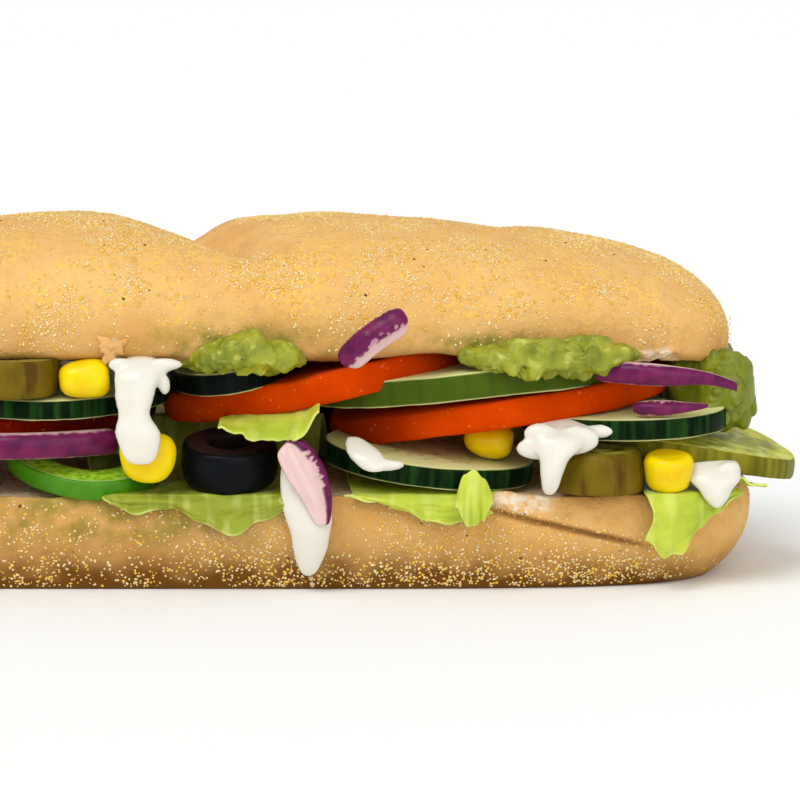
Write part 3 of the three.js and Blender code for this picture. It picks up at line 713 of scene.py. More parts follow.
def heel_marks():
    """Where the bottom half's crumb shows, and where its crust is browned, darkened with painted shadow,
    stained or dusted.
    """

    def crumb(unit, p):
        cut = smooth(tilt(unit.z), 0.7, 0.73)
        torn = 0.0
        if p.y < 0 and p.z > crease_height(p.x) + 0.3:
            torn = bell(p.x - 64, 7) * smooth(p.z, 14.5, 17.5)
        return clamp(cut + 1.4 * smooth(torn + 0.3 * lumps(p, 2.2, 3), 0.35, 0.75))

    # Tin browning towards the base, with painted shade: a shadow line along the very base and a shadow under
    # the lip of the torn crease. All of it is less towards the right end.
    def browned(unit, p):
        tinned = (0.95 + 0.4 * lumps(p, 5, 2)) * bell(p.z, 7.4)
        # The last term is a painted shadow line along the very base.
        shade = 0.18 * (1 - smooth(p.x, 30, 95)) + tinned + 0.2 * bell(p.z, 1.5)
        shade *= 1 - 0.45 * smooth(p.x, 84, 104)
        # Painted shadow under the lip of the torn crease.
        if p.y < 0 and 54 < p.x < 94:
            over = p.z - crease_height(p.x) + 0.5
            shade += 0.6 * smooth(p.x, 54, 60) * (1 - smooth(p.x, 84, 94)) * bell(over, 0.7)
        return clamp(shade)

    def stained(unit, p):
        return 0.65 * smooth(p.z, 6, 13) * (1 - smooth(p.x, -10, 25)) if p.y < 0 else 0.0

    def dusted(unit, p):
        return 0.25 + 0.75 * bell(p.z, 9)

    return {"crumb": crumb, "browned": browned, "stained": stained, "dusted": dusted}


def faces_in_order(host):
    """A piece's faces sorted by their points, because Blender numbers a sphere's faces anew in every run."""
    return sorted(host.data.polygons, key=lambda face: tuple(face.vertices))


def sprinkle(name, host, faces, shares, count, sizes, seed, material):
    """Scatters flattened grains of eight triangles over a piece's faces, as one mesh. shares holds each
    face's share of them, added up."""
    draw = random.Random(seed)
    rim = [Vector((1, 0, 0)), Vector((0, 1, 0)), Vector((-1, 0, 0)), Vector((0, -1, 0))]
    corners = rim + [Vector((0, 0, 1)), Vector((0, 0, -1))]
    sides = [(0, 1), (1, 2), (2, 3), (3, 0)]
    grain_faces = [(a, b, 4) for a, b in sides] + [(b, a, 5) for a, b in sides]
    mesh_points = host.data.vertices
    points = []
    triangles = []
    for face in draw.choices(faces, cum_weights=shares, k=count):
        first, second, third = (mesh_points[i].co for i in face.vertices[:3])
        normal = face.normal
        place = first + (second - first) * draw.random() + (third - second) * draw.random()
        size = draw.uniform(*sizes) * MM / 2
        along_face = (second - first).normalized()
        turn = Matrix.Rotation(draw.uniform(0, math.tau), 3, normal)
        long_way = turn @ along_face * size * draw.uniform(0.8, 1.4)
        short_way = normal.cross(turn @ along_face) * size * draw.uniform(0.7, 1.1)
        upward = normal * size * draw.uniform(0.35, 0.6)
        centre = place + normal * size * 0.12
        base = len(points)
        points += [centre + long_way * c.x + short_way * c.y + upward * c.z for c in corners]
        triangles += [tuple(base + i for i in grain_face) for grain_face in grain_faces]
    mesh = bpy.data.meshes.new(name)
    mesh.from_pydata(points, [], triangles)
    obj = bpy.data.objects.new(name, mesh)
    bpy.context.collection.objects.link(obj)
    return finished(obj, material, "crust")


def shared_out(faces, density):
    """Each face's share of what is scattered over a piece, by its size and the density there, added up."""
    total = 0.0
    shares = []
    for face in faces:
        total += face.area * density(face.center / MM, face.normal)
        shares.append(total)
    return shares


def crown_grit(p, normal):
    """Cornmeal lies thick on top and in patches, thin at the rim and not in the near slash."""
    if normal.z < -0.35 or p.z < 45:
        return 0.0
    patches = smooth(lumps(p, 15, 4) + 0.5 * lumps(p, 6, 2), -0.35, 0.45)
    past = past_slash(p.x, p.y, FIRST_SLASH)
    pocket = smooth(past, -0.4, 0.4) * (1 - smooth(past, 8, 12)) * (1 - smooth(abs(p.y), 24, 32))
    return clamp((0.08 + 0.92 * patches**2) * (0.12 + 0.88 * smooth(p.z, 46, 60)) * (1 - pocket))


def heel_grit(p, normal):
    """Cornmeal lies thick towards the base, along the crease and not on the smooth crust above it."""
    if p.z > 18.4 or p.z < 0.5 or abs(normal.z) > 0.75:
        return 0.0
    patches = smooth(lumps(p, 13, 6) + 0.5 * lumps(p, 5, 3), -0.4, 0.4)
    density = (0.25 + 0.75 * patches) * (0.34 + 0.66 * bell(p.z, 8))
    if p.y < 0 and 54 < p.x < 110 and p.z > crease_height(p.x) + 0.6:
        density *= 0.1
    if p.y < 0 and 57 < p.x < 92:
        density += 1.2 * bell(p.z - crease_height(p.x) - 0.4, 0.7)
    return density * (1 - 0.75 * smooth(p.x, 92, 106))


class SANDWICH_OT_roll(bpy.types.Operator):
    """Bakes both halves of the roll and sprinkles them with cornmeal"""

    bl_idname = "sandwich.roll"
    bl_label = "Roll"

    def execute(self, context):
        roll = context.scene.roll_sizes
        c = tones()
        crust = crust_finish()
        grain = roll.grain / MM
        crown = model(ball("top_half", 232, 320), crown_form(roll), marks=crown_marks())
        finished(crown, crust, "crust", "roll_top")
        flake = model(ball("top_half_flake", 40, 28), flake_form, marks=flake_marks())
        finished(flake, crust, "crust")
        heel = model(ball("bottom_half", 480, 110), heel_form(roll), marks=heel_marks())
        finished(heel, crust, "crust", "roll_bottom")
        cream = grit_finish("pale_cornmeal", c.grit_cream)
        yellow = grit_finish("yellow_cornmeal", c.grit_yellow)
        bran = grit_finish("scorched_bran", c.grit_dark)
        for host, density, many, first_seed in (
            (crown, crown_grit, CROWN_GRAINS, CROWN_SEED),
            (heel, heel_grit, HEEL_GRAINS, HEEL_SEED),
        ):
            faces = faces_in_order(host)
            shares = shared_out(faces, density)
            kinds = (
                ("pale_grit", many, 0.6, 1.5, cream),
                ("yellow_grit", many // 2, 0.7, 1.7, yellow),
                ("specks", SPECKS, 0.6, 1.6, bran),
            )
            for seed, (kind, count, smallest, largest, material) in enumerate(kinds, first_seed):
                sizes = (smallest * grain, largest * grain)
                sprinkle(f"{host.name}_{kind}", host, faces, shares, count, sizes, seed, material)
        return {"FINISHED"}


# Slices and rings

# Share of a ball's latitudes that becomes the rim of a slice
RIM_SHARE = 0.5


def slice_form(across_x, across_y, thick, edge, seed, square=1.0):
    """A slice of a vegetable: the middle of the ball's latitudes is its rim, the rest its faces. A square
    below 1 fills its outline out towards a rectangle."""
    half = thick / 2
    unevenness = 0.012

    def form(unit):
        latitude = tilt(unit.z)
        angle = math.atan2(unit.y, unit.x)
        uneven = 1 + unevenness * (math.sin(2 * angle + seed) + 0.6 * math.sin(5 * angle + 2 * seed))
        turn = clamp(latitude / RIM_SHARE, -1, 1) * math.pi / 2
        inward = edge * (1 - power(math.cos(turn), 0.8))
        reach = clamp((1 - abs(latitude)) / (1 - RIM_SHARE)) ** 0.7
        x = power(math.cos(angle), square) * (across_x / 2 * uneven - inward) * reach
        y = power(math.sin(angle), square) * (across_y / 2 * uneven - inward) * reach
        p = Vector((x, y, half * power(math.sin(turn), 0.75)))
        face = smooth(abs(math.sin(turn)), 0.8, 1)
        p.z += 0.22 * face * lumps(p, 7, seed) + 0.08 * face * lumps(p, 2.2, seed + 3)
        p += Vector((math.cos(angle), math.sin(angle), 0)) * 0.12 * (1 - face) * lumps(p, 6, seed + 1)
        return p

    return form


def slice_marks(across_x, across_y, rim_line):
    """skin covers the rim of a slice up to its cut edges, edge is the line there, and core the ring of
    seeds."""

    def skin(unit, p):
        return 1 - smooth(abs(tilt(unit.z)) / RIM_SHARE, rim_line - 0.12, rim_line)

    def edge(unit, p):
        return bell(abs(tilt(unit.z)) / RIM_SHARE - rim_line + 0.1, 0.07)

    def core(unit, p):
        out = math.hypot(2 * p.x / across_x, 2 * p.y / across_y)
        return smooth(out, 0.1, 0.25) * (1 - smooth(out, 0.62, 0.78))

    return {"skin": skin, "edge": edge, "core": core}


def slice_piece(node, across_x, across_y, thick, edge, seed, material, slot, rim_line, square=1.0, **place):
    obj = model(
        ball(f"{node}_slice", 160, 44),
        slice_form(across_x, across_y, thick, edge, seed, square),
        laid(**place),
        slice_marks(across_x, across_y, rim_line),
    )
    return finished(obj, material, slot, node)


def ring_form(radius, hole, tall, seed, shoulders=(0.95, 0.87), lobes=0.0):
    """A ring round the minor angle of a torus. shoulders says how far out its top and its bottom reach."""
    half = tall / 2
    middle = (radius + hole) / 2
    half_wall = (radius - hole) / 2

    def form(unit):
        angle = math.atan2(unit.y, unit.x)
        minor = math.atan2(unit.z, math.hypot(unit.x, unit.y) - 1)
        out = power(math.cos(minor), 0.22)
        z = half * power(math.sin(minor), 0.22)
        wall = middle + half_wall * out
        if out > 0:
            shoulder = shoulders[0] if z > 0 else shoulders[1]
            wall -= out * radius * (1 - shoulder) * abs(z / half) ** 2.4
        wall *= 1 + lobes * math.sin(3 * angle)
        p = Vector((math.cos(angle) * wall, math.sin(angle) * wall, z))
        p += Vector((math.cos(angle), math.sin(angle), 0)) * 0.2 * lumps(p, 6, seed)
        p.z += 0.25 * lumps(p, 5, seed + 2) * smooth(abs(z / half), 0.7, 1)
        return p

    return form


def ring_marks():
    """skin covers the outside of a ring, and edge is the line where it is cut."""
    start, end = 0.1, 0.35

    def out(unit):
        return math.cos(math.atan2(unit.z, math.hypot(unit.x, unit.y) - 1))

    return {
        "skin": lambda unit, p: smooth(out(unit), start, end),
        "edge": lambda unit, p: bell(out(unit) - end, 0.12),
    }


def ring_piece(node, form, material, slot, **place):
    obj = primitive(
        f"{node}_ring",
        bpy.ops.mesh.primitive_torus_add,
        major_segments=128,
        minor_segments=56,
        major_radius=1,
        minor_radius=0.3,
    )
    return finished(model(obj, form, laid(**place), ring_marks()), material, slot, node)


class SANDWICH_OT_tomatoes(bpy.types.Operator):
    """Lays the tomato slices"""

    bl_idname = "sandwich.tomatoes"
    bl_label = "Tomatoes"

    def execute(self, context):
        thick = context.scene.filling_sizes.tomato / MM
        fresh = tomato_finish("fresh_tomato", tones().tomato_skin, tones().tomato_deep)
        # tomato_left gets a copy of the tomato in darker reds, which is painted shade: that slice lies deep
        # under the cucumber above it.
        dark = tomato_finish("overripe_tomato", linear("701400"), linear("4A0C00"))
        edge = 1.1

        def cut(node, across_x, across_y, seed, tall, material=fresh, **place):
            slice_piece(node, across_x, across_y, tall, edge, seed, material, "tomato", 0.97, **place)

        cut("tomato_middle", 72, 84, 1, thick, x=25, y=0, z=41.3, rise=12.3, bow=(40, 0.007, 1))
        cut("tomato_right", 72, 84, 2, thick - 0.3, x=61.5, y=0, z=36.2, rise=7.2, bow=(62, 0.003, -1))
        cut("tomato_left", 66, 80, 3, thick - 1.6, dark, x=-45, y=0, z=32.8, rise=-1)
        cut("tomato_end", 48, 76, 4, thick - 1, x=-79, y=0, z=41.8, rise=-5)
        return {"FINISHED"}


class SANDWICH_OT_cucumbers(bpy.types.Operator):
    """Lays the cucumber and pickle slices"""

    bl_idname = "sandwich.cucumbers"
    bl_label = "Cucumbers"

    def execute(self, context):
        sizes = context.scene.filling_sizes
        thick = sizes.cucumber / MM
        c = tones()
        fresh = cucumber_finish("fresh_cucumber", c.cucumber_skin, c.cucumber_stripe, 0.8)
        peeled = cucumber_finish("peeled_cucumber", c.cucumber_peel, c.cucumber_stripe, 0.3)
        shaded = cucumber_finish("shaded_cucumber", linear("0C1210"), linear("1C261C"), 0.3)
        cured = pickle_finish()

        def cut(node, across_x, across_y, seed, tall, material=fresh, **place):
            slice_piece(node, across_x, across_y, tall, 0.5, seed, material, "cucumber", 0.86, **place)

        bow = (60, 0.003, 1)
        cut("cucumber_long", 68, 85, 1, thick + 1.0, peeled, square=0.72, x=54, y=0, z=42, rise=6.4, bow=bow)
        cut("cucumber_low", 43, 44, 2, thick, x=46, y=-22, z=24.6, rise=-6, lean=2)
        cut("cucumber_right", 43, 44, 3, thick, x=86.2, y=-20.8, z=33.2, rise=1)
        cut("cucumber_upper", 54, 84, 4, thick - 0.4, x=-33, y=0, z=37.2)
        cut("cucumber_shaded", 31, 83, 5, thick + 0.2, shaded, x=6.5, y=0, z=42.7, rise=9.5)
        cut("cucumber_left", 38, 84, 6, thick, x=-70.5, y=0, z=25.8, rise=1)
        cut("cucumber_back", 44, 40, 7, thick, x=-20, y=23.5, z=25.8, lean=-5, rise=1)
        cured_thick = sizes.pickle / MM
        place = {"x": 100.3, "y": -17, "z": 27.9, "rise": -5, "lean": 3, "bow": (96, 0.006, 1)}
        slice_piece("pickle_right", 43, 40, cured_thick, 0.6, 1, cured, "pickle", 0.9, **place)
        place = {"x": -92, "y": 16, "z": 34.6, "rise": 8}
        slice_piece("pickle_left", 48, 40, cured_thick, 0.6, 1, cured, "pickle", 0.9, **place)
        return {"FINISHED"}


class SANDWICH_OT_rings(bpy.types.Operator):
    """Lays the olive and pepper rings"""

    bl_idname = "sandwich.rings"
    bl_label = "Rings"

    def execute(self, context):
        c = tones()
        sizes = context.scene.filling_sizes
        tall = sizes.olive_height / MM
        hole = sizes.olive_hole / MM
        bruise = linear("4A3208")
        black = olive_finish("black_olive_skin", c.olive_black, linear("2A1C1A"), c.olive_black, 0.0)
        green = olive_finish("green_olive_skin", c.olive_green, c.olive_green_flesh, bruise, 0.8)
        waxy = pepper_finish()

        def olive(node, radius, height, seed, material, shoulders=(0.95, 0.87), **place):
            slot = "black_olive" if material is black else "green_olive"
            ring_piece(node, ring_form(radius, hole, height, seed, shoulders), material, slot, **place)

        olive("black_olive", 9.9, tall, 1, black, x=5.5, y=-34.5, z=25.7, lean=11)
        olive("black_olive_back", 9.6, tall, 2, black, x=20, y=34, z=25.6, lean=-2)
        olive("green_olive_near", 8.9, tall - 0.2, 3, green, (0.86, 0.99), x=80.6, y=-36, z=24.4, lean=1)
        olive("green_olive_upper", 9.3, tall - 1, 4, green, (0.98, 0.88), x=-37.5, y=-36, z=43.4)
        olive("green_olive_left", 8.8, tall, 5, green, x=-99, y=-19, z=25.4, lean=2)
        core = kernel_form(9, 5.6, 5.6, 4, 0.5, 1.0)
        core = model(ball("green_olive_near_core", 48, 32), core, laid(80.6, -36, 24.6, rise=90))
        finished(core, green, "green_olive")

        def pepper(node, across, high, **place):
            flesh = 7
            form = ring_form(across / 2, across / 2 - flesh, high, 6, (0.985, 0.985), 0.04)
            ring_piece(node, form, waxy, "pepper", **place)

        pepper("pepper_near", 33, 4.2, x=-23.8, y=-26.5, z=24.7, lean=13, rise=-4, turn=20)
        pepper("pepper_back", 34, 4.6, x=80, y=24, z=25.2, lean=-6, rise=1, turn=50)
        return {"FINISHED"}


# Sweetcorn


def kernel_form(long, wide, thick, seed, flat=0.62, square=0.8):
    """A kernel with its crown towards +X and its narrow tip towards -X. flat squares its ends off, and square
    its section."""

    def form(unit):
        ring = math.hypot(unit.y, unit.z) or 1
        x = power(unit.x, flat)
        full = power(ring, flat) * (1 - 0.14 * smooth(-x, -0.6, 1))
        dent = 0.5 * bell(ring, 0.45) * smooth(unit.x, 0.5, 1)
        y = power(unit.y / ring, square) * full * wide / 2
        z = power(unit.z / ring, square) * full * thick / 2
        p = Vector((x * long / 2 - dent, y, z))
        return p * (1 + 0.03 * lumps(p, 4, seed))

    return form


class SANDWICH_OT_sweetcorn(bpy.types.Operator):
    """Drops the kernels of sweetcorn"""

    bl_idname = "sandwich.sweetcorn"
    bl_label = "Sweetcorn"

    def execute(self, context):
        material = corn_finish()

        def drop(node, seed, size=(10.4, 9.2, 8.0), flat=0.62, square=0.8, **place):
            form = kernel_form(*size, seed, flat, square)
            finished(model(ball(f"{node}_kernel", 72, 48), form, laid(**place)), material, "sweetcorn", node)

        drop("corn_upper", 1, x=-23.2, y=-39.4, z=43.3, rise=4, turn=10)
        drop("corn_under_sauce", 2, (10.4, 11.8, 7.4), 0.8, 1.0, x=-10.5, y=-42.6, z=27.8, turn=90, lean=90)
        drop("corn_middle", 3, flat=0.85, square=1.0, x=58.3, y=-30, z=29.4, rise=-6, turn=-8)
        drop("corn_right", 4, (7.8, 9.2, 10.2), 0.46, 1.0, x=94.2, y=-38.4, z=24.3, rise=90, turn=-12)
        drop("corn_left", 5, x=-67.4, y=-39.4, z=32.6, rise=8, turn=20)
        drop("corn_back_right", 6, x=48, y=38, z=26, rise=-10, turn=160)
        drop("corn_back_left", 7, x=-42, y=39, z=42.8, rise=6, turn=-20)
        return {"FINISHED"}


# Red onion


def strip_form(radius, wall, tall, sweep, seed, bulge=0.8, blunt=14, point=0.0, ragged=0.12):
    """Part of one onion layer: an arc round the origin whose middle is nearest -Y, its skin side outwards.
    blunt says how square its ends are, point how much thinner it gets towards +X, or towards -X where it is
    negative, and ragged how uneven its cut edges are."""
    half_sweep = math.radians(sweep) / 2

    def form(unit):
        p = Vector((unit.z, unit.x, unit.y))
        share = tilt(p.x)
        ring = math.hypot(p.y, p.z) or 1
        thinned = abs(point) * smooth(math.copysign(share, share * point), -0.3, 1)
        full = fullness(share, blunt) * (1 - thinned)
        z = power(p.z / ring, 0.42) * full * tall / 2
        inward = power(p.y / ring, 0.42) * full * wall / 2
        frayed = smooth(abs(z) / tall, 0.3, 0.5) * smooth(-inward / wall, 0.1, 0.4)
        torn = ragged * lumps(Vector((share * radius, inward, z)), 1.5, seed) * frayed
        out = radius - wall / 2 - inward + bulge * (1 - (z / (tall / 2)) ** 2)
        out += 0.12 * lumps(Vector((share * radius, 0, z)), 3.4, seed + 3)
        angle = -math.pi / 2 + share * half_sweep
        return Vector((math.cos(angle) * out, math.sin(angle) * out, z + torn))

    return form


def strip_marks(radius, wall, tall, edge=0.86, ragged=0.12):
    """skin covers the outer side of a strip up to its frayed edges, and blush tints the flesh beside it."""

    def skin(unit, p):
        ring = math.hypot(unit.x, unit.y) or 1
        outer = smooth(-unit.x / ring, 0.1, 0.3)
        frayed = ragged * lumps(p, 1.3, 4)
        return outer * (1 - smooth(abs(p.z) / (tall / 2) + frayed, edge, edge + 0.14))

    def blush(unit, p):
        return bell(radius - math.hypot(p.x, p.y), 0.22 * wall)

    return {"skin": skin, "blush": blush}


def standing(about_x, about_y, x, y, z):
    """Turns a piece about X and then Y, and moves it."""
    place = (
        Matrix.Translation((x, y, z))
        @ Matrix.Rotation(math.radians(about_y), 4, "Y")
        @ Matrix.Rotation(math.radians(about_x), 4, "X")
    )
    return lambda p: place @ p


class SANDWICH_OT_onions(bpy.types.Operator):
    """Lays the strips of red onion"""

    bl_idname = "sandwich.onions"
    bl_label = "Red onion"

    def execute(self, context):
        material = onion_finish()

        def strip(node, radius, wall, tall, sweep, seed, lay, edge=0.86, ragged=0.12, **form):
            obj = model(
                ball(f"{node}_strip", 48, 150),
                strip_form(radius, wall, tall, sweep, seed, ragged=ragged, **form),
                lay,
                strip_marks(radius, wall, tall, edge, ragged),
            )
            finished(obj, material, "red_onion", node)

        strip("onion_long", 40, 3.6, 5.2, 67, 1, laid(x=-39, y=-3.7, z=29.9, rise=0.5))
        hanging = standing(90, -115, -0.6, -46, 12.8)
        strip("onion_hanging", 29, 7.6, 3.2, 42, 2, hanging, 0.9, 0.4, bulge=0, blunt=3.4, point=-0.4)
        strip("onion_tucked", 21, 5, 4.8, 46, 3, standing(38, 143, 41.6, -33.6, 43.4), 0.95, 0.4, blunt=5)
        bowed = laid(x=93.6, y=-8.6, z=44.1, rise=-3, bow=(98, 0.02, 1))
        strip("onion_right", 34, 3.2, 4.4, 50, 4, bowed, point=0.55)
        scrap = laid(x=94.4, y=-21.5, z=37.5, rise=2)
        strip("onion_scrap", 20, 3, 3, 46, 5, scrap, ragged=0.5, blunt=4, point=0.6)
        strip("onion_left", 30, 3.4, 4.4, 66, 6, laid(x=-82, y=-9.5, z=35.4, rise=1))
        strip("onion_back_right", 38, 3.4, 4.6, 60, 7, laid(x=46, y=3, z=31, turn=180, rise=4))
        strip("onion_back_left", 34, 3.4, 4.6, 60, 8, laid(x=-66, y=6, z=34.4, turn=180))
        return {"FINISHED"}


# Mashed avocado


def mash_form(x, z, inside, front, back, seed, reach=45.5, peak=(0, 0, 1), rough=0.0):
    """Mash from one long side to the other. inside is (wide, tall), front and back are (x, z, wide, tall),
    peak is (x, high, wide) of the point that stands up at the front, and rough how lumpy it is in between."""
    squareness = 0.75

    def form(unit):
        p = Vector((unit.x, unit.z, -unit.y))
        out = p.y
        end_x, end_z, end_wide, end_tall = front if out < 0 else back
        welled = smooth(abs(out), 0.58, 0.8)
        ring = math.hypot(p.x, p.z) or 1
        full = power(math.sqrt(max(0.0, 1 - out * out)), 0.5)
        half_x = (inside[0] + (end_wide - inside[0]) * welled) / 2
        half_z = (inside[1] + (end_tall - inside[1]) * welled) / 2
        place_x = x + (end_x - x) * welled + power(p.x / ring, squareness) * full * half_x
        place_z = z + (end_z - z) * welled + power(p.z / ring, squareness) * full * half_z
        q = Vector((place_x, power(out, squareness) * reach, place_z))
        heap = 1.2 * lumps(q, 8, seed) + 3.2 * abs(lumps(q, 4.6, seed + 5))
        heap += 1.5 * abs(lumps(q, 2.3, seed + 2))
        heap = (heap - 0.9) * max(welled, rough)
        q += Vector((0.6 * heap * p.x, 0.8 * math.copysign(heap, out), heap * p.z / ring))
        if out < 0 and p.z > 0:
            q.z += peak[1] * bell(q.x - peak[0], peak[2]) * welled * p.z / ring
        return q

    return form


class SANDWICH_OT_avocado(bpy.types.Operator):
    """Spreads the mashed avocado"""

    bl_idname = "sandwich.avocado"
    bl_label = "Avocado"

    def execute(self, context):
        fresh = avocado_finish("mashed_avocado", 1.0)
        green = avocado_finish("mashed_green_avocado", 0.2)

        def spread(node, seed, material=fresh, **form):
            obj = model(ball(f"{node}_mash", 128, 170), mash_form(seed=seed, **form))
            finished(obj, material, "avocado", node)

        ends = {"front": (9.4, 47.5, 31, 7.8), "back": (-12, 46.4, 28, 9)}
        spread("avocado_middle", 1, x=-8, z=46.8, inside=(34, 3.4), peak=(8.6, 2.8, 6), **ends)
        ends = {"front": (69, 47.6, 45, 9.4), "back": (66, 47.6, 34, 8)}
        spread("avocado_right", 2, x=76, z=47.2, inside=(30, 2.2), **ends)
        ends = {"front": (107, 38.6, 16, 21), "back": (102, 42, 14, 10)}
        spread("avocado_end", 3, green, x=103, z=40, inside=(16, 14), reach=27, rough=0.8, **ends)
        ends = {"front": (-72, 47.6, 30, 8.4), "back": (-80, 47.2, 26, 8)}
        spread("avocado_left", 4, x=-74, z=47.4, inside=(30, 3), reach=44, **ends)
        return {"FINISHED"}


# White sauce


def run_form(path, widths, depths):
    """Thick sauce that has run down a path: widths spread it along X, depths away from what it clings to."""

    def form(unit):
        p = Vector((unit.x, unit.z, -unit.y))
        share = (1 - p.y) / 2
        centre = curve_at(path, share)
        ring = math.hypot(p.x, p.z) or 1
        full = power(math.sqrt(max(0.0, 1 - p.y * p.y)), 0.7)
        x = centre.x + p.x / ring * full * along(widths, share) / 2
        y = centre.y + p.z / ring * full * along(depths, share) / 2
        return Vector((x, y, centre.z))

    return form


def drop_form(centre, sizes):
    """A drop of sauce with the given sizes along X, Y and Z, a little lumpy."""

    def form(unit):
        p = Vector(centre) + Vector([u * size / 2 for u, size in zip(unit, sizes)])
        return p + unit * 0.25 * lumps(p, 3, 1)

    return form


# Size of the mesh of the sauce, and how it is smoothed
SAUCE_STEP = 0.4
SAUCE_SMOOTHING = {"factor": 0.6, "iterations": 14}

# Each sauce: the path of its run, its widths and depths along it, and the drops that spread beside it
SAUCES = {
    "sauce_over_corn": (
        [
            (-11.8, -39.6, 48),
            (-12.2, -43, 45),
            (-12.8, -44.6, 41),
            (-12.9, -45.6, 37),
            (-12, -47, 32.6),
            (-11.5, -47.8, 27),
        ],
        [12, 11, 8.2, 6.6, 10.8, 11],
        [7, 4.6, 3.6, 3.2, 4, 3.6],
        [
            ((-7.2, -41.9, 46.4), (8, 2.6, 2.8)),
            ((-7, -42.6, 42.4), (2.6, 2.4, 4.4)),
            ((-9.4, -42.6, 43.6), (5, 2.6, 3)),
            ((-16, -42, 46.4), (5, 2.6, 3)),
        ],
    ),
    "sauce_long_run": (
        [(19, -41, 29.5), (20.6, -43.2, 21), (22, -43.6, 13), (21.5, -42, 3.4)],
        [7, 9.6, 10, 8.4, 6],
        [4, 4, 4, 4.4, 4.2],
        [],
    ),
    "sauce_small": (
        [(30.4, -38, 31.4), (33, -42.4, 28.4), (35, -44.6, 25)],
        [5, 7.4, 6],
        [3.4, 3.4, 2.8],
        [((37.6, -43.6, 26.4), (7, 2.6, 2.6))],
    ),
    "sauce_middle": (
        [(72.4, -37, 35.2), (71.8, -43.4, 31.8), (70.4, -46, 26), (69.8, -45.8, 20.6)],
        [11, 15, 11, 5.6, 4.8, 4.4],
        [6, 7, 4.6, 4.2, 4],
        [
            ((67, -43.8, 29.8), (8, 3, 4.6)),
            ((68, -43.4, 32.8), (7, 3, 4)),
            ((75.4, -43.4, 31.4), (9, 3, 6)),
            ((80, -41.4, 33), (8, 2.4, 3)),
        ],
    ),
    "sauce_right": (
        [(103, -32, 27.4), (103.4, -38.6, 23), (103.8, -40.4, 17)],
        [11, 12.4, 11, 6.4, 3.4],
        [6, 5.4, 4.4, 4],
        [((106.4, -38.2, 24.8), (5, 3, 3))],
    ),
    "sauce_left": (
        [(-78, -38.6, 33.6), (-77, -45, 29), (-76.4, -46.4, 21), (-76, -46, 13)],
        [12, 12, 7, 7.4, 6],
        [6, 6, 4.4, 4.4, 4],
        [((-82, -43.6, 30.6), (6, 4, 4))],
    ),
    "sauce_back": (
        [(-11, 38.6, 34), (-11.6, 45, 28), (-12, 46.4, 20), (-12.4, 46, 11)],
        [13, 13, 7, 7.6, 6],
        [6, 6, 4.4, 4.4, 4],
        [((-6.6, 44, 29.6), (6, 4, 4))],
    ),
}


class SANDWICH_OT_sauces(bpy.types.Operator):
    """Pours the white sauce"""

    bl_idname = "sandwich.sauces"
    bl_label = "Sauce"

    def execute(self, context):
        material = sauce_finish()
        for node, (path, widths, depths, drops) in SAUCES.items():
            parts = [model(ball(f"{node}_run", 64, 64), run_form(path, widths, depths))]
            parts += [model(ball(f"{node}_drop", 32, 24), drop_form(*drop)) for drop in drops]
            obj = joined(f"{node}_pool", parts)
            modifier(obj, "REMESH", mode="VOXEL", voxel_size=SAUCE_STEP * MM)
            modifier(obj, "SMOOTH", **SAUCE_SMOOTHING)
            finished(obj, material, "sauce", node)
        return {"FINISHED"}


# Lettuce


def leaf_form(sizes, start, end, front, back, seed, far=None, fold=(0, 0), ruffle=0.7):
    """A leaf across the roll that hangs down over its sides. front and back are the heights of its hem, far
    is its start and end at the far side, and fold is how high and where it is pushed up by the fillings."""
    bed = sizes.leaf_bed / MM
    hang = sizes.leaf_hang / MM
    rows = 12
    hang_rows = 3
    far_start, far_end = far or (start, end)
    fold_high, fold_y = fold

    def form(unit):
        across = (unit.x + 1) / 2
        row = (unit.y + 1) / 2 * rows
        near = min(row, rows - row)
        side = -1 if row < rows / 2 else 1
        hem = along(front if side < 0 else back, across) + 0.3 * math.sin(31 * across + seed)
        wave = math.sin(11 * across + 1.3 * row + seed) + 0.5 * math.sin(25 * across - row + 2 * seed)
        wave *= ruffle
        behind = smooth(row / rows, 0.25, 0.6)
        left = start + (far_start - start) * behind
        right = end + (far_end - end) * behind
        x = left + (right - left) * across + 0.8 * math.sin(1.7 * row + seed)
        inner_y = (row - hang_rows - 1) / (rows - 2 * hang_rows - 2) * 2 - 1
        drop = clamp(1 - near / hang_rows)
        crinkle = 0.35 * lumps(Vector((x, 6 * row, 0)), 2.6, seed) * (0.3 + drop)
        if near <= hang_rows:
            bent = smooth(near, hang_rows - 1, hang_rows) * (0.8 + ruffle)
            out = hang + ruffle + wave * (0.4 + drop) - bent + crinkle
            return Vector((x, side * out, bed + (hem - bed) * drop))
        outer = hang - 0.8
        inner = hang - 7
        if near < hang_rows + 1:
            y = side * (outer + (inner - outer) * (near - hang_rows))
        else:
            y = clamp(inner_y, -1, 1) * inner
        return Vector((x, y, bed + fold_high * bell(y - fold_y, 5.5) + 0.6 * crinkle))

    return form


def frill_form(start, end, y, hems, tops, inward, ruffle):
    """A small ruffled end of a leaf. hems are the heights of its hem, which juts out at y, and tops those of
    its other edge."""

    def form(unit):
        across = (unit.x + 1) / 2
        inside = (unit.y + 1) / 2
        hem = 1 - inside
        waves = math.sin(13 * across) + 0.45 * math.sin(29 * across + 1) + 0.12 * math.sin(61 * across)
        wave = ruffle * hem * waves
        x = start + (end - start) * across
        low = along(hems, across)
        height = low + (along(tops, across) - low) * inside**0.7 + 0.6 * wave
        return Vector((x + 0.4 * wave, y + inward * inside + wave, height))

    return form


def hem_mark(unit, p):
    edge = max(abs(unit.x), abs(unit.y))
    return 0.6 * smooth(edge, 0.965, 1)


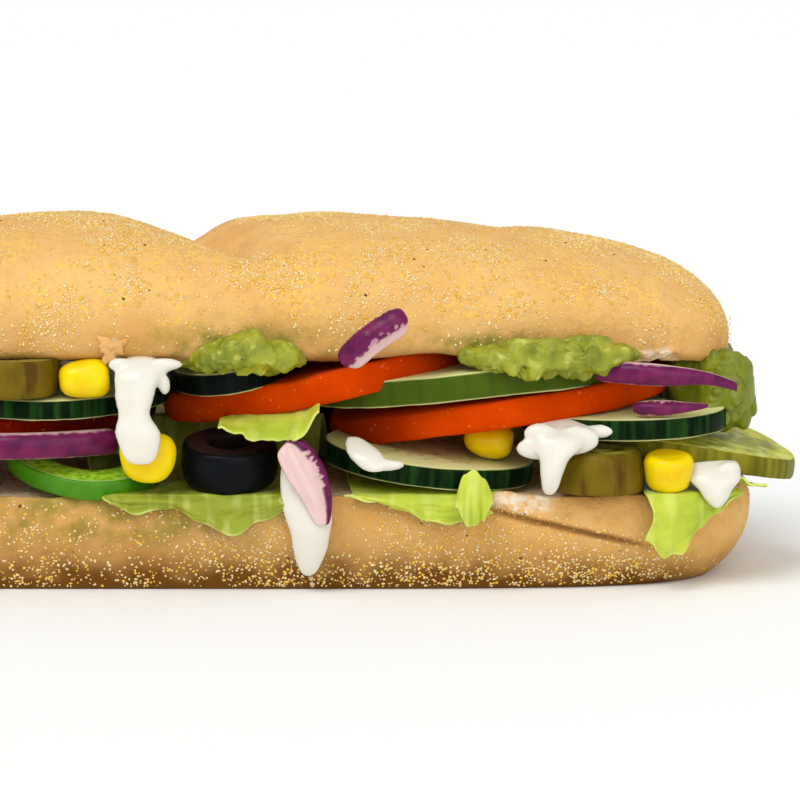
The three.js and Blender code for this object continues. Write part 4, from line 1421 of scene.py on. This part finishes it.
class SANDWICH_OT_lettuce(bpy.types.Operator):
    """Lays the lettuce leaves"""

    bl_idname = "sandwich.lettuce"
    bl_label = "Lettuce"

    def execute(self, context):
        sizes = context.scene.filling_sizes
        c = tones()
        crisp = lettuce_finish("crisp_lettuce", c.lettuce, c.lettuce_deep)
        wet = lettuce_finish("wet_lettuce", c.lettuce_wet, linear("8E9A30"))

        def grow(node, form, x_steps, y_steps, replaced=True):
            grid = bpy.ops.mesh.primitive_grid_add
            obj = primitive(f"{node}_leaf", grid, x_subdivisions=x_steps, y_subdivisions=y_steps, size=2)
            model(obj, form, marks={"hem": hem_mark})
            modifier(obj, "SOLIDIFY", thickness=sizes.leaf, offset=0)
            modifier(obj, "SUBSURF", levels=1, render_levels=1)
            material = wet if node == "lettuce_middle" else crisp
            finished(obj, material, "lettuce", *([node] if replaced else []))

        def leaf(node, **form):
            grow(node, leaf_form(sizes, **form), 64, 150)

        hems = {"front": [18.4, 16.4, 17.6, 15.2, 12, 14.4, 17.6], "back": [15, 11, 14, 9, 13, 16]}
        leaf("lettuce_middle", start=-19, end=17, far=(-29, 27), fold=(11, -3), seed=1, **hems)
        hems = {"front": [20, 18.6, 16.8, 14.6, 14.4, 16.4], "back": [14, 10, 12, 8, 11]}
        leaf("lettuce_right_middle", start=29.5, end=58, far=(29.5, 74), fold=(8, 7), seed=2, **hems)
        hems = {"front": [14, 10, 13, 8, 11, 16], "back": [12, 9, 13, 8, 12]}
        leaf("lettuce_left", start=-86, end=-48, seed=4, **hems)
        hems = {"front": [11, 7.6, 8, 13, 15.6, 18.4], "back": [16, 13, 15, 17]}
        end_leaf = leaf_form(sizes, start=90, end=109, seed=5, ruffle=0.4, **hems)

        def narrowing(unit):
            p = end_leaf(unit)
            p.y *= 1 - 0.2 * smooth(p.x, 92, 110)
            return p

        grow("lettuce_end", narrowing, 48, 150)
        hems = [18, 15, 14.4, 15.6, 19]
        tops = [19.4, 24.6, 25.6, 23.8, 20.4]
        curled = frill_form(51, 58.6, y=-46.4, hems=hems, tops=tops, inward=2.2, ruffle=0.5)
        grow("lettuce_right_middle_curl", curled, 40, 60, replaced=False)
        hems = [34, 32.8, 32.6, 31.6, 31, 32.8, 37.6]
        tops = [34.5, 35.2, 36, 36.8, 37.6, 38.4, 39]
        curl = frill_form(3.6, 24, y=-46.5, hems=hems, tops=tops, inward=12, ruffle=0.8)
        grow("lettuce_curl", curl, 90, 40)
        hems = [24, 23.6, 23, 22.2, 21.6]
        tops = [22, 21.6, 21, 20.6, 20]
        tip = frill_form(99, 114.2, y=-38.4, hems=hems, tops=tops, inward=8.4, ruffle=0.6)
        grow("lettuce_tip", tip, 80, 30)
        return {"FINISHED"}


# Stage

# The camera: the point it looks at in millimetres, how far off and how high it stands, and its lens
AIM = Vector((40, -42, 39.3))
DISTANCE = 650
ELEVATION = math.radians(8)
FOCAL_LENGTH = 146.25
SENSOR_WIDTH = 36
NEAREST = 0.01
FARTHEST = 20

FLOOR_WIDTH = 60
SKY_STRENGTH = 0.58

# A wide soft light from the upper left and in front, and a weaker one from the right: the name of each, where
# it comes from, its strength, and how wide it is in degrees
LIGHTS = (("key", (-0.45, -0.62, 1.0), 1.45, 35), ("fill", (0.4, -1.0, 0.4), 0.85, 50))


class SANDWICH_OT_stage(bpy.types.Operator):
    """Sets the pale floor, the soft light and the camera"""

    bl_idname = "sandwich.stage"
    bl_label = "Stage"

    def execute(self, context):
        scene = context.scene
        floor = primitive("floor", bpy.ops.mesh.primitive_plane_add, size=FLOOR_WIDTH)
        matt = {"Roughness": 0.9, "Specular IOR Level": 0.1}
        floor.data.materials.append(Finish("pale_floor").done(linear("FCFCFB"), matt))
        world = bpy.data.worlds.new("studio")
        scene.world = world
        world.use_nodes = True
        background = world.node_tree.nodes["Background"].inputs
        background["Color"].default_value = (1, 1, 1, 1)
        background["Strength"].default_value = SKY_STRENGTH
        for name, towards, strength, spread in LIGHTS:
            bpy.ops.object.light_add(type="SUN", location=Vector(towards))
            light = bpy.context.object
            light.name = name
            light.data.energy = strength
            light.data.angle = math.radians(spread)
            light.rotation_euler = Vector(towards).to_track_quat("Z", "Y").to_euler()
        back = Vector((0, -math.cos(ELEVATION), math.sin(ELEVATION))) * DISTANCE * MM
        bpy.ops.object.camera_add(location=AIM * MM + back)
        camera = bpy.context.object
        camera.rotation_euler = (math.pi / 2 - ELEVATION, 0, 0)
        camera.data.lens = FOCAL_LENGTH
        camera.data.sensor_width = SENSOR_WIDTH
        camera.data.clip_start = NEAREST
        camera.data.clip_end = FARTHEST
        scene.camera = camera
        scene.view_settings.view_transform = "Standard"
        return {"FINISHED"}


class SANDWICH_PT_panel(bpy.types.Panel):
    """Lists the pieces and their settings"""

    bl_label = "Submarine sandwich"
    bl_idname = "SANDWICH_PT_panel"
    bl_space_type = "VIEW_3D"
    bl_region_type = "UI"
    bl_category = "Sandwich"

    def draw(self, context):
        for operator in OPERATORS:
            self.layout.operator(operator.bl_idname)
        for group in (context.scene.roll_sizes, context.scene.filling_sizes, context.scene.food_colours):
            box = self.layout.box()
            for name in group.bl_rna.properties.keys():
                if name not in ("rna_type", "name"):
                    box.prop(group, name)


OPERATORS = (
    SANDWICH_OT_stage,
    SANDWICH_OT_roll,
    SANDWICH_OT_tomatoes,
    SANDWICH_OT_cucumbers,
    SANDWICH_OT_rings,
    SANDWICH_OT_sweetcorn,
    SANDWICH_OT_onions,
    SANDWICH_OT_avocado,
    SANDWICH_OT_sauces,
    SANDWICH_OT_lettuce,
)
CLASSES = (RollSizes, FillingSizes, FoodColours, *OPERATORS, SANDWICH_PT_panel)


def register():
    for cls in CLASSES:
        bpy.utils.register_class(cls)
    bpy.types.Scene.roll_sizes = bpy.props.PointerProperty(type=RollSizes)
    bpy.types.Scene.filling_sizes = bpy.props.PointerProperty(type=FillingSizes)
    bpy.types.Scene.food_colours = bpy.props.PointerProperty(type=FoodColours)


def unregister():
    del bpy.types.Scene.food_colours
    del bpy.types.Scene.filling_sizes
    del bpy.types.Scene.roll_sizes
    for cls in reversed(CLASSES):
        bpy.utils.unregister_class(cls)


def main():
    register()
    bpy.ops.sandwich.stage()
    bpy.ops.sandwich.roll()
    bpy.ops.sandwich.tomatoes()
    bpy.ops.sandwich.cucumbers()
    bpy.ops.sandwich.rings()
    bpy.ops.sandwich.sweetcorn()
    bpy.ops.sandwich.onions()
    bpy.ops.sandwich.avocado()
    bpy.ops.sandwich.sauces()
    bpy.ops.sandwich.lettuce()


if __name__ == "__main__":
    main()
